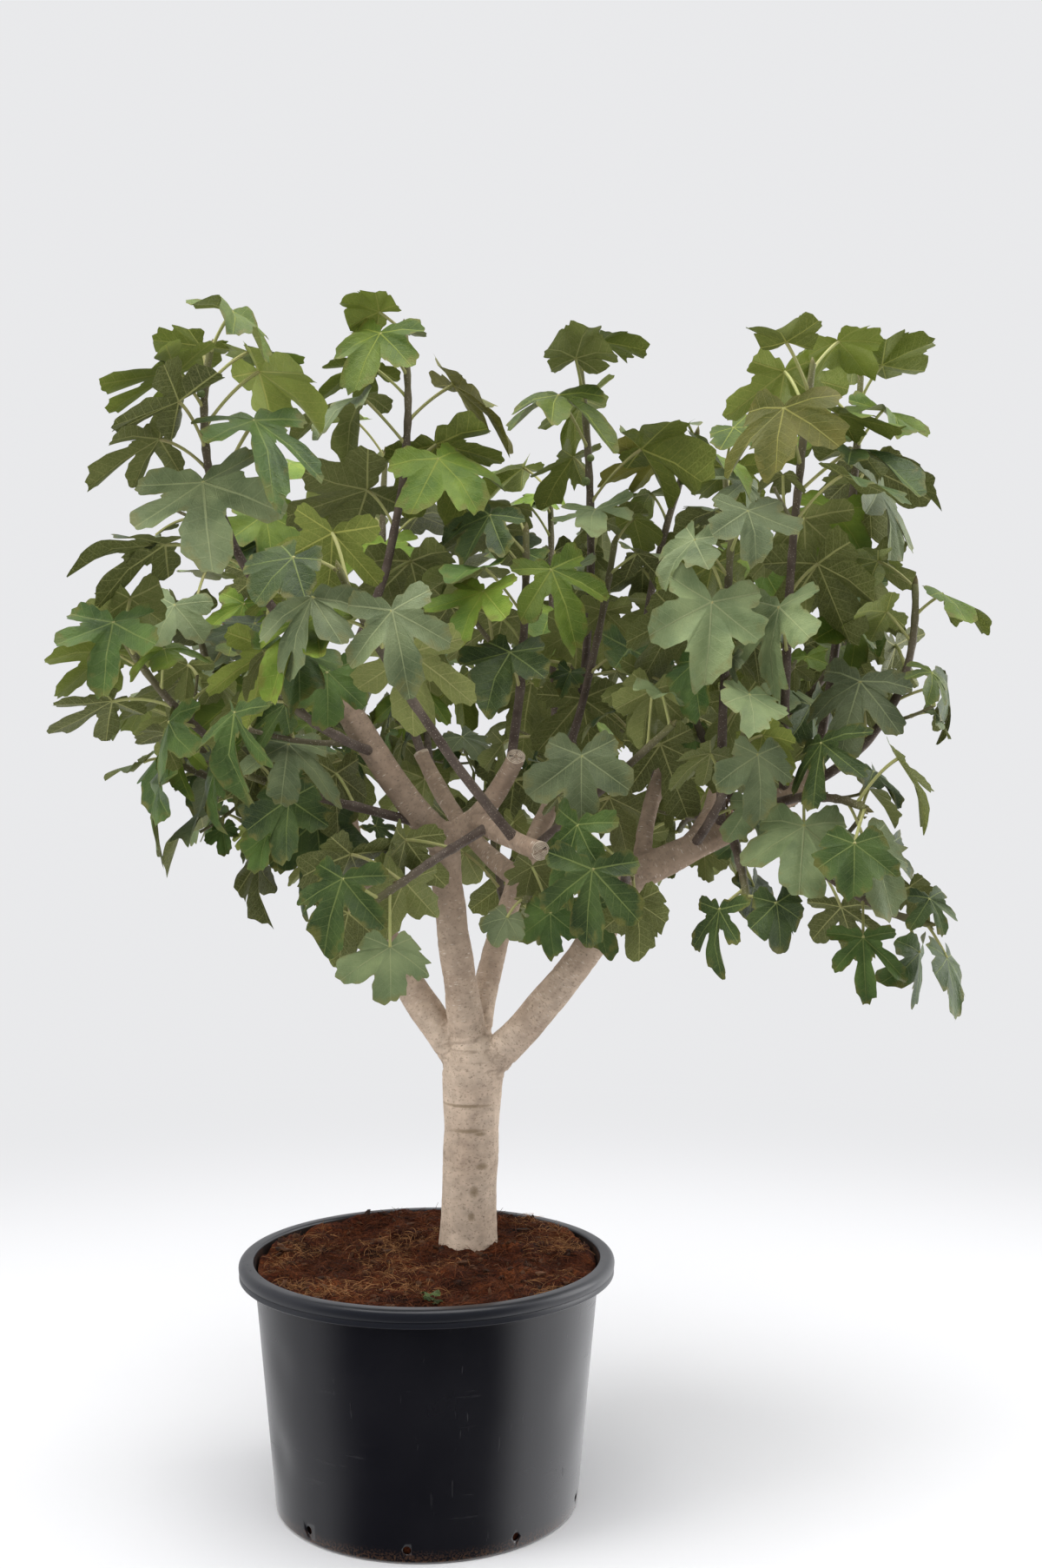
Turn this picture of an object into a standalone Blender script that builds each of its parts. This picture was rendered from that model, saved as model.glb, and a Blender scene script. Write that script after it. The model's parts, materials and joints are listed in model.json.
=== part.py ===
"""Fig tree in a round nursery pot, in metres, +Z up.

The origin is the middle of the pot's flat underside.  The tree stands a little behind the middle
of the pot.  Its boughs and stubs grow from the trunk, and each mass of foliage is one shoot with
its side twigs and leaves, grown by a seeded rule.
"""

import math
import random
from collections import namedtuple

import bmesh
import bpy
from mathutils import Matrix, Vector
from mathutils.bvhtree import BVHTree

OBJECT_NAME = "fig_tree_in_pot"

# Gap that touching pieces keep
GAP = 0.0003

# Pot
POT_HEIGHT = 0.493
RIM_RADIUS = 0.380
RIM_HEIGHT = 0.034
RIM_STEP = 0.006
NECK_RADIUS = 0.348
BASE_RADIUS = 0.306
BASE_EDGE = 0.008
MOUTH_RADIUS = 0.350
POT_WALL = 0.006
POT_FLOOR = 0.007
POT_SIDES = 36
DRAIN_HOLES = 9
DRAIN_RADIUS = 0.008
DRAIN_HEIGHT = 0.027
DRAIN_FIRST_ANGLE = math.radians(-94)

# Potting soil
SOIL_TOP = 0.4885
SOIL_EDGE = 0.468
SOIL_RINGS = 6
SOIL_FLAT = 0.11
SOIL_HOLLOW = 0.020
SOIL_BANK = 0.016

# Trunk, from its cut foot on the soil to its fork
FOOT = Vector((0.078, 0.080, SOIL_TOP + GAP))
FORK = Vector((0.094, 0.080, 0.925))
TRUNK_GIRTH = ((0.00, 0.0665), (0.03, 0.0615), (0.10, 0.0590), (0.30, 0.0570), (0.55, 0.0575),
               (0.72, 0.0610), (0.84, 0.0660), (0.93, 0.0620), (1.00, 0.0440))
TRUNK_SIDES = 14

LIMB_SIDES = 10
LIMB_RINGS = 5
KNUCKLE = 0.45

Limb = namedtuple("Limb", "name parent share tip bow foot_radius tip_radius cut")

# Boughs and sawn stubs: carried by which limb, how far along it, tip, how far the middle bows out
# of the straight line, and radii.  A cut limb ends in a flat saw cut, and another in a knuckle.
LIMBS = (
    Limb("left_bough", "trunk", 0.82, (-0.126, 0.140, 1.178), (-0.010, 0.000, -0.012), 0.036, 0.031, False),
    Limb("left_upper_bough", "left_bough", 0.96, (-0.196, 0.205, 1.420), (-0.004, 0.000, 0.000), 0.027, 0.021, True),
    Limb("left_rear_bough", "left_bough", 0.94, (-0.300, 0.370, 1.400), (-0.014, 0.012, -0.024), 0.024, 0.018, True),
    Limb("centre_bough", "trunk", 0.86, (0.030, 0.018, 1.352), (-0.006, -0.012, 0.000), 0.037, 0.031, False),
    Limb("centre_left_bough", "centre_bough", 0.95, (-0.206, -0.032, 1.690), (-0.010, -0.008, -0.014), 0.030, 0.026, True),
    Limb("centre_stub", "centre_bough", 0.97, (0.180, -0.060, 1.503), (0.012, 0.008, -0.020), 0.025, 0.018, True),
    Limb("front_stub", "centre_stub", 0.36, (0.228, -0.140, 1.317), (0.004, 0.000, -0.006), 0.021, 0.0185, True),
    Limb("rear_bough", "trunk", 0.88, (0.300, 0.360, 1.480), (-0.038, 0.000, -0.010), 0.029, 0.020, True),
    Limb("rear_left_bough", "rear_bough", 0.62, (-0.040, 0.440, 1.520), (-0.010, 0.020, -0.030), 0.021, 0.017, True),
    Limb("right_bough", "trunk", 0.80, (0.428, -0.020, 1.278), (0.012, -0.004, -0.022), 0.037, 0.031, False),
    Limb("right_outer_bough", "right_bough", 0.97, (0.800, 0.020, 1.462), (0.004, -0.012, -0.004), 0.031, 0.023, True),
    Limb("right_stub", "right_outer_bough", 0.04, (0.486, 0.052, 1.480), (-0.012, 0.000, 0.000), 0.018, 0.017, True),
    Limb("right_rear_bough", "right_outer_bough", 0.20, (0.640, 0.300, 1.520), (0.020, 0.010, -0.030), 0.022, 0.017, True),
)

Shoot = namedtuple("Shoot", "name parent share tip bow leaves twigs size word")

# Shoots, one for each mass of foliage: carried by which limb, how far along it, tip, bow, leaves on
# the stem, side twigs, length of a full leaf, and its seed word, with one letter for each leaf and
# an underscore for a leaf that is left out.
SHOOTS = (
    Shoot("left_tall", "centre_left_bough", 0.97, (-0.404, -0.200, 2.284), (-0.092, -0.020, -0.012), 10, 0, 0.235, "nkpBrGgbaq"),
    Shoot("middle_tall", "centre_left_bough", 0.90, (-0.050, 0.030, 2.388), (0.054, 0.020, -0.035), 10, 0, 0.205, "Mpvt7ZOVTn"),
    Shoot("front_arching", "front_stub", 0.60, (-0.131, -0.460, 1.826), (-0.032, -0.040, 0.015), 8, 0, 0.185, "6zkrCeCY"),
    Shoot("left_spreading", "left_upper_bough", 0.92, (-0.602, -0.100, 1.744), (-0.022, -0.065, -0.050), 8, 1, 0.200, "o_VtYTK3_v"),
    Shoot("left_low", "centre_left_bough", 0.12, (-0.347, -0.120, 1.464), (-0.030, 0.000, 0.004), 6, 0, 0.185, "klpK__"),
    Shoot("rear_tall", "rear_bough", 0.97, (0.316, 0.160, 2.340), (0.037, -0.040, -0.040), 10, 0, 0.200, "b_uN8kNLVI"),
    Shoot("middle_rear", "rear_bough", 0.86, (0.388, 0.120, 1.960), (0.010, -0.030, -0.020), 6, 0, 0.180, "rc9Frq"),
    Shoot("right_rear_tall", "right_stub", 0.85, (0.572, 0.220, 2.205), (-0.060, 0.070, -0.030), 8, 0, 0.165, "_Qc0fWWD"),
    Shoot("right_tall", "right_outer_bough", 0.80, (0.760, -0.140, 2.267), (-0.020, -0.030, 0.000), 10, 0, 0.210, "hIFsOKgmkP"),
    Shoot("right_end_tall", "right_outer_bough", 0.97, (0.906, 0.120, 2.305), (0.020, 0.030, 0.000), 10, 0, 0.205, "aQNfk4rNH8"),
    Shoot("right_end", "right_outer_bough", 0.88, (0.985, -0.030, 1.850), (0.060, -0.030, -0.050), 6, 0, 0.185, "ROd6az"),
    Shoot("right_drooping", "right_outer_bough", 0.66, (0.970, -0.210, 1.180), (0.000, -0.030, -0.040), 8, 1, 0.170, "c_EC_uQVXo"),
    Shoot("fork_twigs", "right_bough", 0.62, (0.190, -0.080, 1.219), (0.050, 0.020, 0.030), 4, 0, 0.110, "Kj8C"),
    Shoot("right_low_front", "right_bough", 0.90, (0.400, -0.240, 1.280), (0.000, -0.020, 0.040), 5, 0, 0.190, "9QHhg"),
    Shoot("middle_front", "rear_bough", 0.72, (0.487, -0.140, 1.564), (-0.020, -0.020, -0.020), 5, 0, 0.165, "0u5Zh"),
    Shoot("right_front", "right_outer_bough", 0.30, (0.625, -0.180, 1.560), (0.000, -0.030, -0.020), 5, 0, 0.170, "9qIua"),
    Shoot("right_inner", "right_outer_bough", 0.58, (0.520, -0.060, 1.640), (-0.020, 0.000, 0.020), 5, 0, 0.175, "T_ajz"),
    Shoot("front_drooping", "front_stub", 0.20, (-0.110, -0.200, 1.210), (0.010, -0.020, 0.010), 7, 0, 0.165, "GcANRnQ"),
    Shoot("left_rear", "left_rear_bough", 0.88, (-0.517, 0.200, 1.830), (-0.030, 0.000, -0.050), 8, 0, 0.190, "Jkpj5CdQ"),
    Shoot("left_front", "centre_left_bough", 0.55, (-0.280, -0.320, 1.640), (0.000, -0.030, -0.020), 6, 1, 0.190, "yoJYEamS"),
    Shoot("centre_tall", "centre_stub", 0.88, (0.200, 0.000, 1.960), (0.010, 0.020, 0.000), 7, 1, 0.180, "B9YMguLqc"),
    Shoot("right_middle", "right_outer_bough", 0.45, (0.600, -0.160, 1.950), (-0.010, -0.050, 0.000), 7, 0, 0.180, "idCWWe9"),
    Shoot("right_end_front", "right_outer_bough", 0.73, (0.840, -0.260, 1.400), (0.000, -0.020, 0.020), 6, 0, 0.195, "3Y6uAw"),
    Shoot("right_under", "right_outer_bough", 0.50, (0.620, -0.220, 1.230), (0.000, -0.020, 0.010), 6, 0, 0.180, "8p__go"),
    Shoot("left_under", "left_upper_bough", 0.35, (-0.330, 0.000, 1.330), (0.000, -0.010, 0.020), 7, 0, 0.180, "kW_f_tt"),
    Shoot("left_end", "left_upper_bough", 0.78, (-0.540, 0.040, 1.500), (0.000, -0.010, -0.010), 7, 0, 0.190, "_zQ_CiW"),
    Shoot("rear_left_tall", "left_rear_bough", 0.97, (-0.420, 0.480, 2.120), (-0.040, 0.020, -0.030), 8, 0, 0.185, "bacXk7lv"),
    Shoot("rear_left_end", "left_rear_bough", 0.72, (-0.600, 0.430, 1.600), (0.000, 0.020, -0.040), 7, 0, 0.185, "gMiB8dE"),
    Shoot("rear_left_out", "left_rear_bough", 0.80, (-0.320, 0.660, 1.660), (0.000, 0.040, -0.030), 7, 0, 0.185, "eTahaag"),
    Shoot("back_left_tall", "rear_left_bough", 0.97, (-0.130, 0.560, 2.230), (-0.040, 0.030, -0.020), 8, 0, 0.185, "TmRPYPNr"),
    Shoot("back_left_low", "rear_left_bough", 0.82, (-0.060, 0.780, 1.700), (0.000, 0.030, -0.040), 7, 0, 0.185, "jApevas"),
    Shoot("back_tall", "rear_bough", 0.92, (0.260, 0.620, 2.160), (0.000, 0.050, -0.030), 8, 0, 0.185, "tcUxNkeQ"),
    Shoot("back_out", "rear_bough", 0.80, (0.300, 0.800, 1.700), (0.000, 0.030, -0.040), 7, 0, 0.185, "NvHhgkw"),
    Shoot("back_right_tall", "right_rear_bough", 0.97, (0.660, 0.460, 2.180), (0.020, 0.040, -0.020), 8, 0, 0.185, "D9bcoWRY"),
    Shoot("back_right_out", "right_rear_bough", 0.85, (0.700, 0.680, 1.720), (0.010, 0.030, -0.040), 7, 0, 0.185, "OEzb6av"),
    Shoot("back_right_end", "right_rear_bough", 0.92, (0.980, 0.360, 1.860), (0.020, 0.020, -0.040), 7, 0, 0.185, "2c4ScHw"),
    Shoot("back_low", "rear_bough", 0.50, (0.120, 0.600, 1.340), (0.000, 0.020, -0.020), 5, 0, 0.180, "edI_S"),
    Shoot("back_right_low", "right_rear_bough", 0.45, (0.560, 0.500, 1.340), (0.000, 0.020, 0.020), 5, 0, 0.180, "4j9fF"),
)

# Shoots: stem radii, the bare lower share of the stem, and the side twigs
STEM_FOOT = 0.0105
STEM_TIP = 0.0065
STEM_RINGS = 5
STEM_SIDES = 3
BARE_SHARE = 0.34
TWIG_SHARE = (0.24, 0.46)
TWIG_LENGTH = (0.13, 0.20)
TWIG_LEAVES = 2
TWIG_BARE = 0.55
TWIG_LEAF = 0.9
TWIG_FOOT = 0.0060
TWIG_TIP = 0.0045
GOLDEN_TURN = math.radians(137.5)

# Leaves: petiole, blade outline (angle from the midrib, reach as a share of the leaf's length) and
# the droop of a blade, which is steep low in the crown and slight near its top
PETIOLE_RADIUS = 0.0026
PETIOLE_SHARE = (0.36, 0.72)
PETIOLE_RISE = math.radians(42)
PETIOLE_LIFT = 0.45
SIZE_SPREAD = (0.75, 1.20)
TAPER_FROM = 0.75
TIP_TAPER = 0.8
TURN = 1.2
YAW = 0.5
ROLL = 0.5
OUTLINE = ((0, 0.76), (25, 0.42), (48, 0.64), (112, 0.44), (160, 0.055),
           (200, 0.055), (248, 0.44), (312, 0.64), (335, 0.42))
BLADE_THICKNESS = 0.020
BLADE_CUP = 0.16
DROOP_LOW = math.radians(74)
DROOP_HIGH = math.radians(22)
CROWN_LOW = 1.15
CROWN_HIGH = 2.30
DROOP_SPREAD = 0.5
YOUNG_FROM = 0.92
YOUNG_LIFT = 0.35
LAST_LEAF = 0.985
CROWDING = 0.7
LEAF_MARGIN = 1.05
LEFT_OUT = "_"

# Colours and finishes
FINISHES = {
    "bark": ((0.42, 0.37, 0.31), 0.80),
    "leaf": ((0.09, 0.16, 0.06), 0.50),
    "soil": ((0.10, 0.035, 0.018), 0.95),
    "plastic": ((0.012, 0.013, 0.015), 0.38),
}


def clear_scene():
    for item in list(bpy.data.objects):
        bpy.data.objects.remove(item)


def finish(name):
    colour, roughness = FINISHES[name]
    material = bpy.data.materials.get(name) or bpy.data.materials.new(name)
    material.use_nodes = True
    shader = material.node_tree.nodes["Principled BSDF"]
    shader.inputs["Base Color"].default_value = (*colour, 1)
    shader.inputs["Roughness"].default_value = roughness
    shader.inputs["Metallic"].default_value = 0
    return material


def new_object(name, bm, collection, material):
    """Make a mesh object of a bmesh, with its faces pointing out, in a collection."""
    bmesh.ops.recalc_face_normals(bm, faces=bm.faces)
    mesh = bpy.data.meshes.new(name)
    bm.to_mesh(mesh)
    bm.free()
    item = bpy.data.objects.new(name, mesh)
    item.data.materials.append(finish(material))
    collection.objects.link(item)
    return item


def path_point(start, tip, bow, share):
    return start.lerp(tip, share) + bow * (4 * share * (1 - share))


def path_heading(start, tip, bow, share):
    return ((tip - start) + bow * (4 - 8 * share)).normalized()


def tube(points, radii, sides, headings=None):
    """A closed tapering tube as a bmesh: one disc, extruded ring by ring along the points."""
    if headings is None:
        headings = []
        for index in range(len(points)):
            before = points[max(index - 1, 0)]
            after = points[min(index + 1, len(points) - 1)]
            headings.append((after - before).normalized())
    bm = bmesh.new()
    bmesh.ops.create_circle(bm, cap_ends=True, segments=sides, radius=1.0)
    spoke = bm.verts.layers.int.new("spoke")
    circle = [vert.co.copy() for vert in bm.verts]
    for index, vert in enumerate(bm.verts):
        vert[spoke] = index
    bm.faces.ensure_lookup_table()
    face = bm.faces[0]
    turn = headings[0].to_track_quat("Z", "Y")
    for index, centre in enumerate(points):
        if index:
            grown = bmesh.ops.extrude_face_region(bm, geom=[face])
            if index > 1:
                bmesh.ops.delete(bm, geom=[face], context="FACES_ONLY")
            face = [part for part in grown["geom"] if isinstance(part, bmesh.types.BMFace)][0]
            turn = headings[index - 1].rotation_difference(headings[index]) @ turn
        for vert in face.verts:
            vert.co = centre + turn @ (circle[vert[spoke]] * radii[index])
    bm.verts.layers.int.remove(spoke)
    bmesh.ops.triangulate(bm, faces=bm.faces)
    return bm


def trunk_tube(swell):
    points = []
    radii = []
    for share, radius in TRUNK_GIRTH:
        points.append(FOOT.lerp(FORK, share))
        radii.append(radius + swell)
    if swell:
        points[-1] = points[-1] + Vector((0, 0, swell))
    upright = [Vector((0, 0, 1))] * len(points)
    return tube(points, radii, TRUNK_SIDES, upright)


class Tree:
    """Where each limb and shoot runs, worked out once for the solids and for what they carry."""

    def __init__(self):
        self.starts = {"trunk": FOOT}
        self.rows = {}
        for limb in LIMBS:
            self.rows[limb.name] = limb
            self.starts[limb.name] = self.place_on(limb.parent, limb.share)

    def place_on(self, name, share):
        if name == "trunk":
            return FOOT.lerp(FORK, share)
        limb = self.rows[name]
        return path_point(self.starts[name], Vector(limb.tip), Vector(limb.bow), share)

    def stem(self, shoot):
        return self.place_on(shoot.parent, shoot.share), Vector(shoot.tip), Vector(shoot.bow)

    def twigs(self, shoot):
        rng = random.Random(shoot.name + " twigs")
        return [twig_row(*self.stem(shoot), rng) for _ in range(shoot.twigs)]

    def limb_tube(self, name, swell=0.0):
        if name == "trunk":
            return trunk_tube(swell)
        limb = self.rows[name]
        start = self.starts[name]
        tip = Vector(limb.tip)
        bow = Vector(limb.bow)
        points = []
        radii = []
        headings = []
        for index in range(LIMB_RINGS + 1):
            share = index / LIMB_RINGS
            points.append(path_point(start, tip, bow, share))
            headings.append(path_heading(start, tip, bow, share))
            radii.append(limb.foot_radius + (limb.tip_radius - limb.foot_radius) * share + swell)
        if not limb.cut:
            points.append(points[-1] + headings[-1] * (limb.tip_radius * KNUCKLE + swell))
            headings.append(headings[-1])
            radii.append(limb.tip_radius * 0.70)
        elif swell:
            points[-1] = points[-1] + headings[-1] * swell
        return tube(points, radii, LIMB_SIDES, headings)


def join(base, others, cutters, collection):
    """Fuse others into the base and cut it clear of the cutters, then apply both."""
    if others:
        helper = bpy.data.collections.new(base.name + "_fused")
        for item in others:
            helper.objects.link(item)
            collection.objects.unlink(item)
        union = base.modifiers.new("fuse", "BOOLEAN")
        union.operation = "UNION"
        union.operand_type = "COLLECTION"
        union.collection = helper
        union.solver = "EXACT"
    for cutter in cutters:
        cut = base.modifiers.new("clear", "BOOLEAN")
        cut.operation = "DIFFERENCE"
        cut.object = cutter
        cut.solver = "EXACT"
    bpy.context.view_layer.update()
    depsgraph = bpy.context.evaluated_depsgraph_get()
    mesh = bpy.data.meshes.new_from_object(base.evaluated_get(depsgraph))
    base.modifiers.clear()
    base.data = mesh
    for item in others:
        bpy.data.objects.remove(item)
    if others:
        bpy.data.collections.remove(helper)


def keep_largest(item):
    """Drop loose scraps, so that the node is one closed body."""
    bm = bmesh.new()
    bm.from_mesh(item.data)
    seen = set()
    groups = []
    for face in bm.faces:
        if face in seen:
            continue
        group = [face]
        seen.add(face)
        for member in group:
            for edge in member.edges:
                for other in edge.link_faces:
                    if other not in seen:
                        seen.add(other)
                        group.append(other)
        groups.append(group)
    groups.sort(key=len)
    for group in groups[:-1]:
        bmesh.ops.delete(bm, geom=group, context="FACES")
    bmesh.ops.triangulate(bm, faces=bm.faces)
    bm.to_mesh(item.data)
    bm.free()


Leaf = namedtuple("Leaf", "root joint forward side normal size")


def leaf_mesh(leaf, margin=1.0, petiole=True):
    """A lobed blade as a flat double cone, with its petiole drawn out of the heel."""
    bm = bmesh.new()
    bmesh.ops.create_cone(bm, cap_ends=True, cap_tris=True, segments=len(OUTLINE),
                          radius1=1.0, radius2=0.0, depth=1.0)
    ring = [vert for vert in bm.verts if vert.co.xy.length > 0.5]
    ring.sort(key=lambda vert: math.atan2(vert.co.y, vert.co.x) % math.tau)
    half = leaf.size * BLADE_THICKNESS * 0.5 * margin
    for vert in bm.verts:
        if vert not in ring:
            vert.co = leaf.joint + leaf.normal * math.copysign(half, vert.co.z)
    for vert, (angle, reach) in zip(ring, OUTLINE):
        reach = reach * leaf.size * margin
        along = math.cos(math.radians(angle)) * reach
        across = math.sin(math.radians(angle)) * reach
        sag = BLADE_CUP * reach * reach / leaf.size
        vert.co = leaf.joint + leaf.forward * along + leaf.side * across - leaf.normal * sag
    if petiole:
        heel = ring[len(OUTLINE) // 2], ring[len(OUTLINE) // 2 + 1]
        shared = [face for face in heel[0].link_faces if heel[1] in face.verts]
        facing = leaf.normal * (leaf.root - leaf.joint).dot(leaf.normal)
        near = max(shared, key=lambda face: (face.calc_center_median() - leaf.joint).dot(facing))
        grown = bmesh.ops.extrude_face_region(bm, geom=[near])
        bmesh.ops.delete(bm, geom=[near], context="FACES_ONLY")
        foot = [part for part in grown["geom"] if isinstance(part, bmesh.types.BMFace)][0]
        middle = foot.calc_center_median()
        heading = (leaf.root - middle).normalized()
        for vert in foot.verts:
            spoke = vert.co - middle
            spoke -= heading * spoke.dot(heading)
            vert.co = leaf.root + spoke.normalized() * PETIOLE_RADIUS * 1.3 * margin
    bmesh.ops.triangulate(bm, faces=bm.faces)
    return bm


Chance = namedtuple("Chance", "turn size petiole yaw droop roll")


def leaf_chance(name, index, letter):
    """The chances of one leaf, which depend only on its shoot, its place there and its letter."""
    rng = random.Random(f"{name} {index} {letter}")
    return Chance(rng.uniform(-TURN, TURN), rng.uniform(*SIZE_SPREAD), rng.uniform(*PETIOLE_SHARE),
                  rng.uniform(-YAW, YAW), rng.uniform(-DROOP_SPREAD, DROOP_SPREAD), rng.uniform(-ROLL, ROLL))


def shape_of(bm):
    """A search tree of a bmesh's faces, to test what it would touch."""
    bm.verts.ensure_lookup_table()
    return BVHTree.FromBMesh(bm)


def crosses_itself(bm):
    """True where two faces that share no corner meet, as where a petiole runs through its blade."""
    shape = shape_of(bm)
    bm.faces.ensure_lookup_table()
    for one, two in shape.overlap(shape):
        if not set(bm.faces[one].verts) & set(bm.faces[two].verts):
            return True
    return False


def leaf_on(point, heading, turn, chance, full, share):
    """Work out one leaf: its petiole leaves the stem at a turn, and its blade hangs from that."""
    taper = 1.0 if share < TAPER_FROM else 1.0 - TIP_TAPER * (share - TAPER_FROM)
    size = full * taper * chance.size
    radial = Matrix.Rotation(turn, 3, heading) @ heading.orthogonal().normalized()
    steep = abs(heading.z)
    outward = radial * math.cos(PETIOLE_RISE) + heading * math.sin(PETIOLE_RISE) * (0.5 + 0.5 * steep)
    outward = (outward + Vector((0, 0, PETIOLE_LIFT * (1 - steep)))).normalized()
    joint = point + outward * size * chance.petiole
    level = Vector((outward.x, outward.y, 0))
    if level.length < 0.15:
        level = Vector((radial.x, radial.y, 0))
    level = Matrix.Rotation(chance.yaw, 3, "Z") @ level.normalized()
    height = min(max((joint.z - CROWN_LOW) / (CROWN_HIGH - CROWN_LOW), 0), 1)
    droop = DROOP_LOW + (DROOP_HIGH - DROOP_LOW) * height + chance.droop
    if share > YOUNG_FROM:
        droop -= YOUNG_LIFT
    forward = level * math.cos(droop) - Vector((0, 0, math.sin(droop)))
    side = Matrix.Rotation(chance.roll, 3, forward) @ Vector((0, 0, 1)).cross(level)
    return Leaf(point, joint, forward, side, forward.cross(side).normalized(), size)


def leaf_nodes(name, start, tip, bow, count, bare, first):
    """Where the leaves of a stem stand: share of its length, point, heading and turn of the spiral."""
    turn = random.Random(name).uniform(0, math.tau) + first
    for index in range(count):
        share = bare + (LAST_LEAF - bare) * (index / max(count - 1, 1)) ** CROWDING
        turn += GOLDEN_TURN
        yield share, path_point(start, tip, bow, share), path_heading(start, tip, bow, share), turn


def shoot_nodes(tree, shoot):
    """The leaf nodes of a shoot, on its stem and then on its side twigs, with their full size."""
    start, tip, bow = tree.stem(shoot)
    for node in leaf_nodes(shoot.name, start, tip, bow, shoot.leaves, BARE_SHARE, 0):
        yield node, shoot.size
    for number, twig in enumerate(tree.twigs(shoot)):
        for node in leaf_nodes(shoot.name, *twig, TWIG_LEAVES, TWIG_BARE, number + 1):
            yield node, shoot.size * TWIG_LEAF


def shoot_leaf(shoot, index, node, full, letter):
    share, point, heading, turn = node
    chance = leaf_chance(shoot.name, index, letter)
    return leaf_on(point, heading, turn + chance.turn, chance, full, share)


def twig_row(start, tip, bow, rng):
    """A side twig leaves its stem low down and turns up towards the light."""
    share = rng.uniform(*TWIG_SHARE)
    point = path_point(start, tip, bow, share)
    heading = path_heading(start, tip, bow, share)
    radial = Matrix.Rotation(rng.uniform(0, math.tau), 3, heading) @ heading.orthogonal().normalized()
    length = rng.uniform(*TWIG_LENGTH)
    end = point + (radial * 0.8 + heading * 0.5 + Vector((0, 0, 0.3))).normalized() * length
    return point, end, Vector((0, 0, -0.010))


class Clearance:
    """What stands where, so that a twig or a leaf that would touch it is skipped."""

    def __init__(self):
        self.solids = {}

    def add(self, name, bm):
        self.solids.setdefault(name, []).append(shape_of(bm))

    def hits(self, bm, skip=()):
        shape = shape_of(bm)
        for name, shapes in self.solids.items():
            if name in skip:
                continue
            for other in shapes:
                if shape.overlap(other):
                    return True
        return False

    def leaf_clear(self, leaf, own):
        """True where the blade is clear of all that stands, and the petiole of all but its stem."""
        blade = leaf_mesh(leaf, LEAF_MARGIN, petiole=False)
        whole = leaf_mesh(leaf, LEAF_MARGIN)
        touched = self.hits(blade) or self.hits(whole, skip=(own,)) or crosses_itself(whole)
        blade.free()
        whole.free()
        return not touched


def stem_tube(start, tip, bow, foot, end, rings):
    points = []
    radii = []
    headings = []
    for index in range(rings + 1):
        share = index / rings
        points.append(path_point(start, tip, bow, share))
        headings.append(path_heading(start, tip, bow, share))
        radii.append(foot + (end - foot) * share)
    return tube(points, radii, STEM_SIDES, headings)


def build_pot(collection, cutters):
    """A turned shell with a rolled rim, stood on its flat floor, with holes low in its wall."""
    inner_neck = NECK_RADIUS - POT_WALL
    inner_base = BASE_RADIUS - POT_WALL
    rim_foot = POT_HEIGHT - RIM_HEIGHT
    profile = (
        (0.0, POT_FLOOR), (inner_base, POT_FLOOR), (inner_neck, rim_foot), (MOUTH_RADIUS, POT_HEIGHT - 0.004),
        (MOUTH_RADIUS + 0.005, POT_HEIGHT), (RIM_RADIUS - 0.010, POT_HEIGHT),
        (RIM_RADIUS - 0.002, POT_HEIGHT - 0.006), (RIM_RADIUS, POT_HEIGHT - 0.014),
        (RIM_RADIUS - 0.001, rim_foot + RIM_STEP), (RIM_RADIUS - 0.006, rim_foot),
        (NECK_RADIUS, rim_foot - 0.001), (BASE_RADIUS, BASE_EDGE), (BASE_RADIUS - BASE_EDGE, 0.0), (0.0, 0.0),
    )
    bm = bmesh.new()
    verts = [bm.verts.new((radius, 0, height)) for radius, height in profile]
    for one, two in zip(verts, verts[1:]):
        bm.edges.new((one, two))
    mesh = bpy.data.meshes.new("pot")
    bm.to_mesh(mesh)
    bm.free()
    pot = bpy.data.objects.new("pot", mesh)
    pot.data.materials.append(finish("plastic"))
    collection.objects.link(pot)
    screw = pot.modifiers.new("turn", "SCREW")
    screw.steps = POT_SIDES
    screw.render_steps = POT_SIDES
    screw.use_merge_vertices = True
    screw.merge_threshold = 0.0001
    screw.use_normal_calculate = True
    for index in range(DRAIN_HOLES):
        angle = DRAIN_FIRST_ANGLE + math.tau * index / DRAIN_HOLES
        bm = bmesh.new()
        bmesh.ops.create_cone(bm, cap_ends=True, segments=8, radius1=DRAIN_RADIUS, radius2=DRAIN_RADIUS, depth=0.05)
        place = (Matrix.Rotation(angle, 4, "Z") @ Matrix.Translation((BASE_RADIUS, 0, DRAIN_HEIGHT))
                 @ Matrix.Rotation(math.pi / 2, 4, "Y"))
        bmesh.ops.transform(bm, matrix=place, verts=bm.verts)
        cutter = new_object(f"drain_hole_{index + 1}", bm, cutters, "plastic")
        cutter.hide_render = True
        cutter.display_type = "WIRE"
        cut = pot.modifiers.new("drain", "BOOLEAN")
        cut.operation = "DIFFERENCE"
        cut.object = cutter
        cut.solver = "EXACT"
    return pot


def soil_height(place):
    """Height of the soil: flat round the trunk, hollow at the back left, banked at the back right."""
    away = (Vector((place.x, place.y, 0)) - Vector((FOOT.x, FOOT.y, 0))).length
    edge = min(max((away - SOIL_FLAT) / (RIM_RADIUS - SOIL_FLAT), 0), 1)
    height = SOIL_TOP + (SOIL_EDGE - SOIL_TOP) * edge * edge * (3 - 2 * edge)
    round_pot = place.xy.length / MOUTH_RADIUS
    bearing = math.atan2(place.y, place.x)
    height += SOIL_BANK * edge * round_pot * max(math.cos(bearing - math.radians(60)), 0)
    height -= SOIL_HOLLOW * edge * round_pot * max(math.cos(bearing - math.radians(140)), 0)
    return height


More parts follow.
